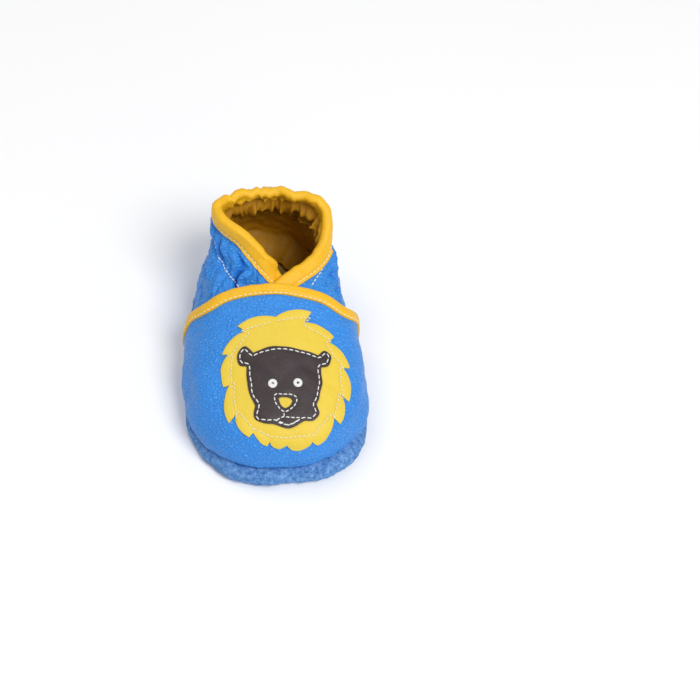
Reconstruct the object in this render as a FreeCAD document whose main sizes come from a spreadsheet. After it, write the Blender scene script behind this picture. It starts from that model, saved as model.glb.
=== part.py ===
"""Baby bootie with a soft sole: a suede tray sole, a smooth leather vamp over the toes, a one-piece
leather quarter round the heel with an elastic casing and a lining, leather tape bound over both top
edges, and a lion patch sewn on the vamp.

Frame, in millimetres: +Z up, the toe towards -Y, the origin under the middle of the sole.

Every leather panel is one layer over the same body surface, moved out or in along its normal, so the
panels lie face to face and one size moves all that touches it.  A place on the body surface is a pair
(angle, height): the angle runs round the bootie, 0 at the wearer's left and -90 degrees at the toe.
"""
import FreeCAD
import Part
import math
import os
import Sketcher
from FreeCAD import Placement, Rotation, Vector

os.makedirs("parts", exist_ok=True)
doc = FreeCAD.newDocument("BabyBootie")

# --------------------------------------------------------------------------------------------------
# Driving dimensions
# --------------------------------------------------------------------------------------------------
SIZES = (
    # leather and cloth thicknesses
    ("quarter_leather", 1.1, "blue leather round the heel"),
    ("vamp_leather", 1.1, "blue leather over the toes"),
    ("lining_leather", 0.7, "yellow lining of the quarter"),
    ("tape", 0.7, "yellow leather tape of both bindings"),
    ("collar_tape_width", 5.0, "how far the collar's tape reaches from the edge, each side"),
    ("vamp_tape_width", 3.6, "the same for the tape on the vamp"),
    ("patch_leather", 0.8, "each layer of the lion patch"),
    ("sole_leather", 1.6, "suede of the sole"),
    ("elastic_height", 5.5, "height of the elastic band"),
    ("elastic_thickness", 0.7, "thickness of the elastic band"),
    ("layer_gap", 0.08, "air between two layers that touch"),
    ("edge_gap", 0.3, "air between a leather edge and the fold of its tape"),
    # body of the bootie, at the outer face of the quarter
    ("toe", 54.0, "toe of the body, forward of the origin"),
    ("heel", 60.0, "heel of the body, behind the origin"),
    ("half_width", 32.3, "half the width of the body"),
    ("throat_height", 38.4, "body height where the vamp ends"),
    ("collar_half_width", 23.2, "half the width of the collar"),
    ("collar_back", 45.0, "back of the collar, behind the origin"),
    ("collar_height", 54.5, "height of the finished collar at the heel"),
    ("collar_side", 53.0, "height of the leather's edge beside the ankle"),
    ("notch_height", 41.6, "height of the leather's edge at the point of the V"),
    ("ankle_height", 44.0, "height of the elastic line at the heel"),
    ("ankle_front", 37.5, "height of the elastic line at the vamp"),
    # sole
    ("sole_toe", 60.0, "toe of the sole, forward of the origin"),
    ("sole_heel", 58.5, "heel of the sole, behind the origin"),
    ("sole_half_width", 35.2, "half the width of the sole"),
    ("sole_rim", 8.0, "height of the seam between sole and upper"),
    ("seam_width", 6.0, "sole edge turned in under the upper"),
    ("pad", 3.2, "thickness of the insole pad"),
    ("pad_cover", 0.8, "thickness of the insole cover"),
    ("pad_toe_radius", 28.0, "round end of the insole at the toe"),
    ("pad_heel_radius", 23.0, "round end of the insole at the heel"),
    ("pad_margin", 0.6, "room round the insole inside the sole"),
    # cut lines
    ("vamp_edge", 7.2, "top edge of the vamp, behind the origin"),
    ("vamp_edge_low", 4.6, "the same edge down at the sole"),
    ("tuck", 12.0, "quarter that lies under the vamp"),
    ("tape_tuck", 4.0, "collar tape that lies under the vamp"),
    ("slit", 0.4, "gap between the two ends of the quarter"),
    # lion patch
    ("patch_side", 1.5, "centre of the patch, to the wearer's left"),
    ("patch_centre", 30.4, "centre of the patch, forward of the origin"),
    ("patch_height", 30.2, "height of the patch's centre"),
    ("patch_tilt", 20.0, "slope of the vamp under the patch, in degrees"),
    ("patch_scale", 1.0, "size of the lion patch"),
    ("eye", 3.4, "width of an embroidered eye"),
    # thread
    ("thread", 0.5, "thickness of the sewing thread"),
    ("stitch", 2.1, "length of a stitch"),
    ("stitch_pitch", 3.0, "distance from stitch to stitch"),
)
sheet = doc.addObject("Spreadsheet::Sheet", "Sizes")
for row, (alias, value, words) in enumerate(SIZES, start=1):
    sheet.set(f"A{row}", alias)
    sheet.set(f"B{row}", str(value))
    sheet.set(f"C{row}", words)
    sheet.setAlias(f"B{row}", alias)
doc.recompute()


def size(alias):
    """The value of one named cell."""
    return float(sheet.get(alias))


# --------------------------------------------------------------------------------------------------
# The body surface
# --------------------------------------------------------------------------------------------------
HEEL_SQUARENESS = 2.3       # exponent of the oval at the heel: 2 is an ellipse
FLARE = 0.13                # how much wider the oval is at the toe than amidships, at the floor
FLARE_TOP = 50.0            # height at which the flare is gone
TOP = 66.0                  # the surface is known up to here
FOOT = size("sole_rim") + size("layer_gap")     # the upper starts here, on the sole's rim
TOE, HEEL, WAIST = size("toe"), size("heel"), size("half_width")
COLLAR, BACK_TOP = size("collar_half_width"), size("collar_back")
THROAT, ANKLE = size("throat_height"), size("ankle_height")

# (height, value) points of the outlines of the body: front, back, half width, squareness of the toe
# end, and how far back the widest point lies
FRONT = ((0, -TOE + 3.0), (8, -TOE + 0.7), (13, -TOE), (20, -TOE + 2.2), (27.4, -TOE + 16.8),
         (33.3, -TOE + 36.7), (THROAT, 4.1), (43.5, 12.5), (52, 16.0), (TOP, 17.0))
BACK = ((0, HEEL - 7.0), (8, HEEL - 2.5), (16, HEEL), (28, HEEL - 1.0), (38, HEEL - 5.5),
        (ANKLE, BACK_TOP + 4.0), (50, BACK_TOP + 2.0), (60, BACK_TOP - 1.0), (TOP, BACK_TOP - 1.0))
HALF = ((0, WAIST - 2.0), (8, WAIST - 0.5), (13, WAIST), (20, WAIST - 1.0), (26, WAIST - 4.1),
        (32, WAIST - 7.1), (37, WAIST - 8.0), (43, COLLAR + 0.5), (50, COLLAR), (TOP, COLLAR + 0.5))
SQUARE = ((0, 2.9), (20, 2.8), (28, 2.1), (33, 1.7), (38, 1.5), (43, 1.4), (TOP, 1.4))
WIDEST = ((0, 3.0), (20, 3.0), (26, 8.0), (32, 19.0), (38, 27.0), (44, 33.0), (50, 35.0), (TOP, 35.0))


def along(points, height):
    """Value of a smooth monotone curve through (height, value) points."""
    if height <= points[0][0]:
        return points[0][1]
    if height >= points[-1][0]:
        return points[-1][1]
    steps = [b[0] - a[0] for a, b in zip(points, points[1:])]
    slopes = [(b[1] - a[1]) / step for a, b, step in zip(points, points[1:], steps)]
    tangents = [slopes[0]] + [0.0] * (len(points) - 2) + [slopes[-1]]
    for i in range(1, len(points) - 1):
        if slopes[i - 1] * slopes[i] > 0:
            before = 2 * steps[i] + steps[i - 1]
            after = steps[i] + 2 * steps[i - 1]
            tangents[i] = (before + after) / (before / slopes[i - 1] + after / slopes[i])
    i = max(k for k in range(len(steps)) if points[k][0] <= height)
    t = (height - points[i][0]) / steps[i]
    ease = t * t * (3 - 2 * t)
    bend = steps[i] * (tangents[i] * t * (1 - t) ** 2 - tangents[i + 1] * t * t * (1 - t))
    return points[i][1] * (1 - ease) + points[i + 1][1] * ease + bend


def oval(angle, front, back, half, widest, square, flare):
    """Point of a horizontal oval, by the angle round its middle: 0 is +X and -90 degrees the toe."""
    cosine, sine = math.cos(angle), math.sin(angle)
    power = square + (HEEL_SQUARENESS - square) * (sine + 1) / 2
    length = back - widest if sine > 0 else widest - front
    reach = (abs(cosine / half) ** power + abs(sine / length) ** power) ** (-1 / power)
    return reach * cosine * (1 - flare * sine), widest + reach * sine


def body(angle, height):
    """Point of the body surface, at the outer face of the quarter."""
    flare = FLARE * max(0.0, 1 - height / FLARE_TOP)
    x, y = oval(angle, along(FRONT, height), along(BACK, height), along(HALF, height),
                along(WIDEST, height), along(SQUARE, height), flare)
    return Vector(x, y, height)


def outward(angle, height):
    """Unit normal of the body surface."""
    small = 0.01
    around = body(angle + small, height) - body(angle - small, height)
    up = body(angle, height + small) - body(angle, height - small)
    return around.cross(up).normalize()


def surface(angle, height, offset):
    """Point that lies offset outside the body surface."""
    return body(angle, height) + outward(angle, height) * offset


def foot_normal(angle):
    """Outward direction at the seam with the sole, kept level so every layer ends at one height."""
    normal = outward(angle, FOOT)
    return Vector(normal.x, normal.y, 0).normalize()


def closed_curve(points):
    """Wire of one smooth closed curve."""
    curve = Part.BSplineCurve()
    curve.interpolate(Points=points, PeriodicFlag=True)
    return Part.Wire([curve.toShape()])


# --------------------------------------------------------------------------------------------------
# Moving about on the body surface
# --------------------------------------------------------------------------------------------------
TOE_END, HEEL_END = -math.pi / 2, math.pi / 2
SLIT = size("slit") / 2


def at(place, offset):
    """Point at a place, offset outside the body; the two front ends stay a slit apart."""
    angle, height = place
    normal = foot_normal(angle) if height <= FOOT else outward(angle, height)
    point = body(angle, height) + normal * offset
    apart = SLIT * max(0.0, -math.sin(angle)) ** 4
    return point + Vector(apart if angle < HEEL_END else -apart, 0, 0)


def walk(place, direction, length):
    """Place reached by going a length over the surface in a direction."""
    angle, height = place
    steps = max(1, math.ceil(abs(length) / 0.8))
    small = 0.005
    for _ in range(steps):
        round_ = (body(angle + small, height) - body(angle - small, height)) * (0.5 / small)
        up = (body(angle, height + small) - body(angle, height - small)) * (0.5 / small)
        a, b, c = round_.dot(round_), round_.dot(up), up.dot(up)
        p, q = direction.dot(round_), direction.dot(up)
        turn, rise = (p * c - q * b) / (a * c - b * b), (q * a - p * b) / (a * c - b * b)
        scale = (length / steps) / (round_ * turn + up * rise).Length
        angle, height = angle + turn * scale, height + rise * scale
    return angle, FOOT if place[1] <= FOOT else height


def solve(function, low, high):
    """Where a function that grows from low to high crosses nought."""
    for _ in range(40):
        middle = (low + high) / 2
        low, high = (middle, high) if function(middle) < 0 else (low, middle)
    return (low + high) / 2


def between(first, last, count):
    """Evenly spaced values, both ends kept."""
    return [first + (last - first) * i / (count - 1) for i in range(count)]


def blend(first, last, share):
    """Value part of the way between two."""
    return first + (last - first) * share


def mirrored(places):
    """The same places on the other side of the bootie."""
    return [(math.pi - angle, height) for angle, height in places]


def evenly(line, count):
    """Places spaced evenly along a line of places."""
    points = [at(place, 0) for place in line]
    reach = [0.0]
    for a, b in zip(points, points[1:]):
        reach.append(reach[-1] + a.distanceToPoint(b))
    chosen = []
    for goal in between(0.0, reach[-1], count):
        i = min(max(k for k in range(len(reach)) if reach[k] <= goal + 1e-9), len(line) - 2)
        share = (goal - reach[i]) / (reach[i + 1] - reach[i])
        chosen.append(tuple(blend(p, q, share) for p, q in zip(line[i], line[i + 1])))
    return chosen


# --------------------------------------------------------------------------------------------------
# Edges of the panels, as lines of places on the wearer's left side from the front
# --------------------------------------------------------------------------------------------------
NOTCH, SIDE = 9.5, 32.0     # how far back the collar's edge leaves the notch and reaches the side


def collar_height(y):
    """Height of the leather's edge at the collar."""
    top = size("collar_height") - size("tape") - size("edge_gap")
    corners = ((0, size("notch_height")), (NOTCH, size("notch_height")), (SIDE, size("collar_side")),
               (BACK_TOP + 1, top))
    return along(corners, y)


def edge_of_collar(angle):
    """Place where the leather's edge crosses a line straight up the body."""
    return angle, solve(lambda z: z - collar_height(body(angle, z).y), 38.0, 60.0)


BOW, BOW_HEIGHT, BOW_SPREAD = 3.0, 31.0, 6.0    # the vamp's edge bows forward at its shoulders


def edge_y(height, forward):
    """How far back a line that runs forward of the vamp's top edge lies."""
    share = min(1.0, (height - FOOT) / (THROAT - FOOT))
    bow = BOW * math.exp(-((height - BOW_HEIGHT) / BOW_SPREAD) ** 2)
    return blend(size("vamp_edge_low"), size("vamp_edge"), share) - bow - forward


def across_side(height, forward):
    """Place at a height where the body crosses such a line, on the flank."""
    return solve(lambda a: body(a, height).y - edge_y(height, forward), TOE_END, 1.0), height


SHOULDER = 31.0             # height where such a line turns from the flank to the instep


def across_top(share, forward):
    """The same on the instep: share runs from the middle line, 0, to the shoulder, 1."""
    shoulder = across_side(SHOULDER, forward)
    if share >= 1.0:
        return shoulder
    angle = blend(TOE_END, shoulder[0], share)
    return angle, solve(lambda z: body(angle, z).y - edge_y(z, forward), SHOULDER - 3, 48.0)


def edge_line(forward):
    """Line across the vamp from the middle line out and down the flank to the sole."""
    top = [across_top(share, forward) for share in between(0.0, 1.0, 16)]
    side = [across_side(height, forward) for height in between(SHOULDER, FOOT, 16)]
    return top + side[1:]


COLLAR_LINE = [edge_of_collar(angle) for angle in between(TOE_END, HEEL_END, 73)]


# --------------------------------------------------------------------------------------------------
# Solids swept through stations
# --------------------------------------------------------------------------------------------------
PARTS = []


def flattened(points):
    """The points moved onto one plane, so a loft can be closed there."""
    centre = sum(points, Vector()) * (1 / len(points))
    normal = Vector()
    for a, b in zip(points, points[1:] + points[:1]):
        normal += (a - centre).cross(b - centre)
    normal.normalize()
    return [p - normal * (p - centre).dot(normal) for p in points]


def section(points, corners):
    """Closed wire through the points, smooth except at the numbered corners."""
    ends = list(corners) + [corners[0] + len(points)]
    edges = []
    for first, last in zip(ends, ends[1:]):
        run = [points[i % len(points)] for i in range(first, last + 1)]
        if len(run) == 2:
            edges.append(Part.makeLine(run[0], run[1]))
        else:
            curve = Part.BSplineCurve()
            curve.interpolate(Points=run)
            edges.append(curve.toShape())
    return Part.Wire(edges)


def swept(name, stations, corners):
    """Solid through a row of sections that all have the same corners."""
    stations = [flattened(stations[0]), *stations[1:-1], flattened(stations[-1])]
    made = doc.addObject("Part::Feature", name)
    made.Shape = Part.makeLoft([section(points, corners) for points in stations], True, True)
    return made


def panel(name, stations, outer, inner):
    """Flat layer between two offsets: each station is a line of places up the panel."""
    count = len(stations[0])
    rows = [[at(p, outer) for p in line] + [at(p, inner) for p in reversed(line)] for line in stations]
    return swept(name, rows, (0, count - 1, count, 2 * count - 1))


def folded(name, edge, ways, width, outer, seat_out, seat_in, inner):
    """Tape folded over an edge: ways are the directions from the edge into the leather."""
    gap, tape = size("edge_gap"), size("tape")
    rows = []
    for place, way in zip(edge, ways):
        down = [walk(place, way, width * share) for share in (1.0, 0.5, 0.0)]
        up = down[::-1]
        wall, crown = walk(place, way, -gap), walk(place, way, -gap - tape)
        rows.append([at(p, outer) for p in (*down, crown)] + [at(p, inner) for p in (crown, *up)]
                    + [at(p, seat_in) for p in (*down, wall)] + [at(p, seat_out) for p in (wall, *up)])
    return swept(name, rows, (0, 3, 4, 7, 8, 11, 12, 15))


def part(made, label):
    """Marks a finished sub-part and gives it its name."""
    made.Label = label
    PARTS.append(made)
    return made


# --------------------------------------------------------------------------------------------------
# The stack of layers, as distances from the body surface
# --------------------------------------------------------------------------------------------------
GAP, TAPE = size("layer_gap"), size("tape")
QUARTER_IN = -size("quarter_leather")
ELASTIC_OUT = QUARTER_IN - GAP
ELASTIC_IN = ELASTIC_OUT - size("elastic_thickness")
LINING_OUT = ELASTIC_IN - GAP
LINING_IN = LINING_OUT - size("lining_leather")
TAPE_IN = LINING_IN - GAP - TAPE
TAPE_OUT = GAP + TAPE
VAMP_TAPE_IN = TAPE_OUT + GAP
VAMP_IN = VAMP_TAPE_IN + TAPE + GAP
VAMP_OUT = VAMP_IN + size("vamp_leather")
VAMP_TAPE_OUT = VAMP_OUT + GAP + TAPE
MANE_OUT = VAMP_OUT + GAP + size("patch_leather")
FACE_OUT = MANE_OUT + GAP + size("patch_leather")

# --------------------------------------------------------------------------------------------------
# Quarter, its lining and the elastic between them
# --------------------------------------------------------------------------------------------------
def heel_panel(name, forward, outer, inner):
    """Layer from the slit in front, round the heel and back to the slit."""
    tucked = edge_line(forward)
    corner = tucked[-1][0]
    low = evenly(tucked, 15) + evenly([(a, FOOT) for a in between(corner, HEEL_END, 12)], 18)[1:]
    high = evenly(COLLAR_LINE, len(low))
    half = [[tuple(blend(p, q, share) for p, q in zip(a, b)) for share in between(0.0, 1.0, 9)]
            for a, b in zip(low, high)]
    return panel(name, half + [mirrored(line) for line in half[-2::-1]], outer, inner)


LINING_SHORT = 3.0          # how much shorter the lining is cut in front
part(heel_panel("quarter_shape", size("tuck"), 0.0, QUARTER_IN), "quarter")
part(heel_panel("lining_shape", size("tuck") - LINING_SHORT, LINING_OUT, LINING_IN), "quarter_lining")


def elastic_line(angle):
    """Height of the middle of the elastic at an angle."""
    front, back = size("ankle_front"), size("ankle_height")
    start = size("vamp_edge") + 0.8

    def above(height):
        return height - blend(front, back, (body(angle, height).y - start) / (BACK_TOP - start))

    return solve(above, 30.0, 50.0)


def elastic_band():
    """Band inside the casing, from flank to flank round the heel."""
    half_height = size("elastic_height") / 2
    half = [[(angle, elastic_line(angle) + half_height * t) for t in (-1.0, -0.3, 0.3, 1.0)]
            for angle in between(ELASTIC_END, HEEL_END, 16)]
    stations = half + [mirrored(line) for line in half[-2::-1]]
    return panel("elastic_shape", stations, ELASTIC_OUT, ELASTIC_IN)


ELASTIC_END = -0.2          # angle where the elastic ends, beside the vamp's edge
part(elastic_band(), "elastic_band")


# --------------------------------------------------------------------------------------------------
# Tape over the collar's edge and over the vamp's edge
# --------------------------------------------------------------------------------------------------
def into_leather(line):
    """Direction square to a line of places, downwards over the surface, at each of them."""
    points = [at(place, 0) for place in line]
    ways = []
    for i, place in enumerate(line):
        run = points[min(i + 1, len(line) - 1)] - points[max(i - 1, 0)]
        ways.append(outward(*place).cross(run).normalize() * -1)
    for _ in range(3):
        ways = [(a + b + c).normalize() for a, b, c in zip(ways[:1] + ways, ways, ways[1:] + ways[-1:])]
    return ways


def both_sides(ways):
    """Directions on the left side followed by the same ones mirrored, the middle one kept once."""
    return ways + [Vector(-w.x, w.y, w.z) for w in ways[-2::-1]]


def collar_run():
    """Places along the collar's edge from the V round the heel and back, and the tape's directions."""
    places = evenly(COLLAR_LINE, 34)
    ways = into_leather(places)
    for i, share in enumerate((0.0, 0.25, 0.5, 0.75)):
        ways[i] = Vector(0, -1, 0) * (1 - share) + ways[i] * share
    ways[-1] = Vector(0, 0, -1)
    return places + mirrored(places)[-2::-1], both_sides(ways)


def arch_run():
    """Places along the vamp's edge from foot to foot over the instep, and the tape's directions."""
    places = evenly(edge_line(0), 26)
    ways = into_leather(places)
    ways[0] = Vector(0, -1, -0.5).normalize()
    ways[-1] = Vector(0, -1, 0)
    return places[::-1] + mirrored(places)[1:], both_sides(ways[::-1])


WIDTH, VAMP_WIDTH = size("collar_tape_width"), size("vamp_tape_width")
COLLAR_RUN, ARCH_RUN = collar_run(), arch_run()
part(folded("collar_tape", *COLLAR_RUN, WIDTH, TAPE_OUT, GAP, LINING_IN - GAP, TAPE_IN),
     "collar_binding")
part(folded("vamp_tape", *ARCH_RUN, VAMP_WIDTH, VAMP_TAPE_OUT, VAMP_OUT + GAP, VAMP_IN - GAP,
            VAMP_TAPE_IN), "vamp_binding")


# --------------------------------------------------------------------------------------------------
# Vamp
# --------------------------------------------------------------------------------------------------
def vamp_line(share):
    """Line of places from the sole up to the vamp's top edge, share of the way out to the flank."""
    top = across_top(share, 0)
    line = []
    for height in between(FOOT, top[1], 15):
        flank = across_side(min(height, SHOULDER), 0)[0]
        line.append((blend(TOE_END, flank, share), height))
    return line


left_vamp = [vamp_line(share) for share in between(1.0, 0.0, 17)]
part(panel("vamp_shape", left_vamp + [mirrored(line) for line in left_vamp[-2::-1]], VAMP_OUT, VAMP_IN),
     "vamp")

# --------------------------------------------------------------------------------------------------
# Sole: a suede tray whose edge is turned in under the upper
# --------------------------------------------------------------------------------------------------
SOLE_LEATHER = size("sole_leather")
# (height, inset) of the tray's bulging side
SIDE_OF_SOLE = ((0, 2.6), (0.8, 1.0), (3.0, 0.0), (5.5, 0.6), (size("sole_rim"), 1.8))
ANGLES = [2 * math.pi * i / 60 for i in range(60)]


def sole_curve(height, inset):
    """Closed curve round the sole at a height, moved in from its widest outline."""
    points = []
    for angle in ANGLES:
        x, y = oval(angle, inset - size("sole_toe"), size("sole_heel") - inset,
                    size("sole_half_width") - inset, WIDEST[0][1], SQUARE[0][1], FLARE)
        points.append(Vector(x, y, height))
    return closed_curve(points)


def cut(name, base, tool):
    """The base less the tool."""
    made = doc.addObject("Part::Cut", name)
    made.Base, made.Tool = base, tool
    return made


def common(name, base, tool):
    """What two shapes share."""
    made = doc.addObject("Part::Common", name)
    made.Base, made.Tool = base, tool
    return made


def sole_block(name, levels, inset):
    """Solid of the sole's outline through some heights, moved in from its side by a distance."""
    made = doc.addObject("Part::Feature", name)
    made.Shape = Part.makeLoft([sole_curve(z, along(SIDE_OF_SOLE, z) + inset) for z in levels], True)
    return made


rim = size("sole_rim")
tray_outside = sole_block("tray_outside", (0, 0.8, 2, 3, 4.2, 5.5, 6.8, rim), 0.0)
tray_hollow = sole_block("tray_hollow", between(SOLE_LEATHER, rim - SOLE_LEATHER, 5), SOLE_LEATHER)
mouth_inset = SIDE_OF_SOLE[-1][1] + size("seam_width")
tray_mouth = doc.addObject("Part::Feature", "tray_mouth")
mouth_levels = (rim - 2 * SOLE_LEATHER, rim + 1)
tray_mouth.Shape = Part.makeLoft([sole_curve(z, mouth_inset) for z in mouth_levels], True)
part(cut("tray", cut("tray_shell", tray_outside, tray_hollow), tray_mouth), "suede_outsole")


def insole(name, height, thickness):
    """Flat pad with a wide round toe and a narrow round heel, its sizes bound to the sheet."""
    made = doc.addObject("PartDesign::Body", name)
    sketch = made.newObject("Sketcher::SketchObject", name + "_outline")
    sketch.AttachmentSupport = [(made.Origin.OriginFeatures[3], "")]
    sketch.MapMode = "FlatFace"
    sketch.setExpression("AttachmentOffset.Base.z", height)
    toe_arc = Part.Circle(Vector(0, -28, 0), Vector(0, 0, 1), 28)
    heel_arc = Part.Circle(Vector(0, 32, 0), Vector(0, 0, 1), 23)
    sketch.addGeometry(Part.ArcOfCircle(toe_arc, math.pi, 2 * math.pi), False)
    sketch.addGeometry(Part.LineSegment(Vector(28, -28, 0), Vector(23, 32, 0)), False)
    sketch.addGeometry(Part.ArcOfCircle(heel_arc, 0, math.pi), False)
    sketch.addGeometry(Part.LineSegment(Vector(-23, 32, 0), Vector(-28, -28, 0)), False)
    for first, second in ((0, 1), (1, 2), (2, 3), (3, 0)):
        sketch.addConstraint(Sketcher.Constraint("Tangent", first, 2, second, 1))
    inset = "Sizes.sole_leather + Sizes.pad_margin"
    for arc, radius, centre in (
            (0, "Sizes.pad_toe_radius", f"Sizes.pad_toe_radius + {inset} - Sizes.sole_toe"),
            (2, "Sizes.pad_heel_radius", f"Sizes.sole_heel - Sizes.pad_heel_radius - ({inset})")):
        sketch.addConstraint(Sketcher.Constraint("PointOnObject", arc, 3, -2))
        number = sketch.addConstraint(Sketcher.Constraint("Radius", arc, 25.0))
        sketch.setExpression(f"Constraints[{number}]", radius)
        number = sketch.addConstraint(Sketcher.Constraint("DistanceY", -1, 1, arc, 3, 30.0 * (arc - 1)))
        sketch.setExpression(f"Constraints[{number}]", centre)
    pad = made.newObject("PartDesign::Pad", name + "_pad")
    pad.Profile = sketch
    pad.setExpression("Length", thickness)
    return made


floor = "Sizes.sole_leather + Sizes.layer_gap"
part(insole("pad", floor, "Sizes.pad"), "insole_pad")
part(insole("cover", floor + " + Sizes.pad + Sizes.layer_gap", "Sizes.pad_cover"), "insole_cover")

# --------------------------------------------------------------------------------------------------
# Lion patch: outlines in millimetres on a flat plane laid over the vamp, u to the wearer's left, v
# up towards the ankle
# --------------------------------------------------------------------------------------------------
TILT = math.radians(size("patch_tilt"))
PATCH = Vector(size("patch_side"), -size("patch_centre"), size("patch_height"))
U, V = Vector(1, 0, 0), Vector(0, math.cos(TILT), math.sin(TILT))
N = U.cross(V)
SCALE = size("patch_scale")

MANE_DIP = (-2.9, 24.6)
# (tip, notch) of each tuft, from the dip at the top down either side
MANE_LEFT = (((10.5, 27.0), (7.6, 22.4)), ((18.6, 17.1), (16.1, 14.5)), ((23.6, 4.6), (20.9, 4.6)),
             ((22.5, -8.6), (19.8, -6.7)), ((18.1, -17.2), (16.1, -15.4)), ((9.5, -23.5), (7.6, -22.7)),
             ((0.4, -24.8), (-1.4, -23.5)))
MANE_RIGHT = (((-16.7, 22.1), (-14.1, 19.7)), ((-22.8, 11.1), (-20.9, 10.8)),
              ((-23.3, -1.9), (-21.3, -1.3)), ((-21.7, -15.6), (-19.8, -13.4)),
              ((-15.2, -21.1), (-13.8, -19.9)), ((-8.8, -23.8), (-7.6, -22.8)),
              ((-4.2, -24.6), (-1.4, -23.5)))
# smooth runs of the face from corner to corner
FACE = (((-14.5, 5.4), (-16.9, 6.0), (-17.4, 9.5), (-16.0, 12.1), (-14.1, 12.9), (-11.6, 10.0)),
        ((-11.6, 10.0), (-6.5, 11.8), (-0.2, 12.0), (6.4, 10.9), (11.4, 8.8)),
        ((11.4, 8.8), (14.0, 10.7), (16.3, 8.5), (15.4, 4.8), (12.4, 3.8)),
        ((12.4, 3.8), (12.1, -2.3), (11.2, -7.1), (9.8, -10.9)),
        ((9.8, -10.9), (10.4, -14.2), (8.4, -16.7), (5.0, -17.3)),
        ((5.0, -17.3), (1.4, -18.6), (-1.8, -19.0), (-6.5, -17.1)),
        ((-6.5, -17.1), (-10.1, -16.4), (-12.9, -14.8), (-12.5, -10.7)),
        ((-12.5, -10.7), (-14.0, -6.3), (-14.6, 0.3), (-14.5, 5.4)))
NOSE = ((-4.2, -8.5), (-2.7, -7.5), (-0.3, -7.5), (1.3, -8.8), (0.5, -10.8), (-1.4, -11.9), (-3.3, -10.7))
NOSE_LOOP = ((-5.6, -7.7), (-4.4, -6.4), (-2.0, -6.3), (0.7, -6.4), (2.8, -7.5), (2.8, -9.3), (1.5, -11.5),
             (-1.4, -13.2), (-3.5, -11.9), (-5.2, -9.7), (-5.6, -7.7))
MOUTH = (((-2.0, -13.5), (-2.0, -15.1)), ((-5.5, -16.3), (-2.0, -15.1), (3.4, -16.2)))
LIP = (((-4.9, -16.9), (-3.8, -17.4), (-1.4, -17.9), (0.9, -17.5), (3.1, -16.7)),)
EYES = {"right_eye": (-5.6, -2.0), "left_eye": (3.4, -2.3)}


def beside(point):
    """How far a point lies outside the body, measured level, and its angle round the body."""
    z = point.z
    flare = FLARE * max(0.0, 1 - z / FLARE_TOP)
    widest = along(WIDEST, z)
    angle = math.atan2(point.y - widest, point.x)
    for _ in range(4):
        x = point.x / (1 - flare * math.sin(angle))
        angle = math.atan2(point.y - widest, x)
    edge = oval(angle, along(FRONT, z), along(BACK, z), along(HALF, z), widest, along(SQUARE, z), 0.0)
    return math.hypot(x, point.y - widest) - math.hypot(edge[0], edge[1] - widest), angle


def on_patch(spot):
    """Place on the body under a spot of the patch's plane."""
    start = PATCH + (U * spot[0] + V * spot[1]) * SCALE
    depth = solve(lambda t: beside(start + N * t)[0] if (start + N * t).z > FOOT else -1, -25.0, 15.0)
    point = start + N * depth
    return beside(point)[1], point.z


REACH_U, REACH_V = 27.5, 30.0
PATCH_GRID = [[on_patch((u, v)) for v in between(-REACH_V, REACH_V, 21)]
              for u in between(-REACH_U, REACH_U, 19)]


def patch_prism(name, wire):
    """Upright prism over a flat outline, along the patch's normal."""
    made = doc.addObject("Part::Feature", name)
    made.Shape = Part.Face(wire).extrude(N * 70)
    made.Placement = Placement(N * -40, Rotation())
    return made


def spot(pair):
    """Point of the patch's plane."""
    return PATCH + (U * pair[0] + V * pair[1]) * SCALE


def tuft(start, tip):
    """Arc of one tuft's outer edge, bulging away from the patch's middle."""
    a, b = spot(start), spot(tip)
    side = (b - a).cross(N)
    middle = (a + b) * 0.5
    if side.dot(middle - PATCH) < 0:
        side = side * -1
    return Part.Arc(a, middle + side * 0.13, b).toShape()


def mane_wire():
    """Outline of the mane, tuft by tuft."""
    edges = []
    for tufts in (MANE_LEFT, MANE_RIGHT):
        start = MANE_DIP
        for tip, notch in tufts:
            edges += [tuft(start, tip), Part.makeLine(spot(tip), spot(notch))]
            start = notch
    return Part.Wire(Part.sortEdges(edges)[0])


def smooth(run):
    """Edge through the spots of a run."""
    curve = Part.BSplineCurve()
    curve.interpolate(Points=[spot(pair) for pair in run])
    return curve.toShape()


mane_sheet = panel("mane_sheet", PATCH_GRID, MANE_OUT, VAMP_OUT + GAP)
part(common("mane_shape", mane_sheet, patch_prism("mane_prism", mane_wire())), "mane")
face_sheet = panel("face_sheet", PATCH_GRID, FACE_OUT, MANE_OUT + GAP)
face_prism = patch_prism("face_prism", Part.Wire([smooth(run) for run in FACE]))
face_whole = common("face_whole", face_sheet, face_prism)
nose_prism = patch_prism("nose_prism", closed_curve([spot(pair) for pair in NOSE]))
part(cut("face_shape", face_whole, nose_prism), "face")
for name, pair in EYES.items():
    place = on_patch(pair)
    eye = doc.addObject("Part::Cylinder", name + "_disc")
    eye.Placement = Placement(at(place, FACE_OUT + GAP), Rotation(Vector(0, 0, 1), outward(*place)))
    eye.setExpression("Radius", "Sizes.eye / 2 * Sizes.patch_scale")
    eye.setExpression("Height", "Sizes.thread")
    part(eye, name)

# --------------------------------------------------------------------------------------------------
# Thread: each stitch is a short rod lying on the leather
# --------------------------------------------------------------------------------------------------
THREAD, STITCH, PITCH = size("thread"), size("stitch"), size("stitch_pitch")
LIFT = THREAD / 2 + GAP


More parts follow.
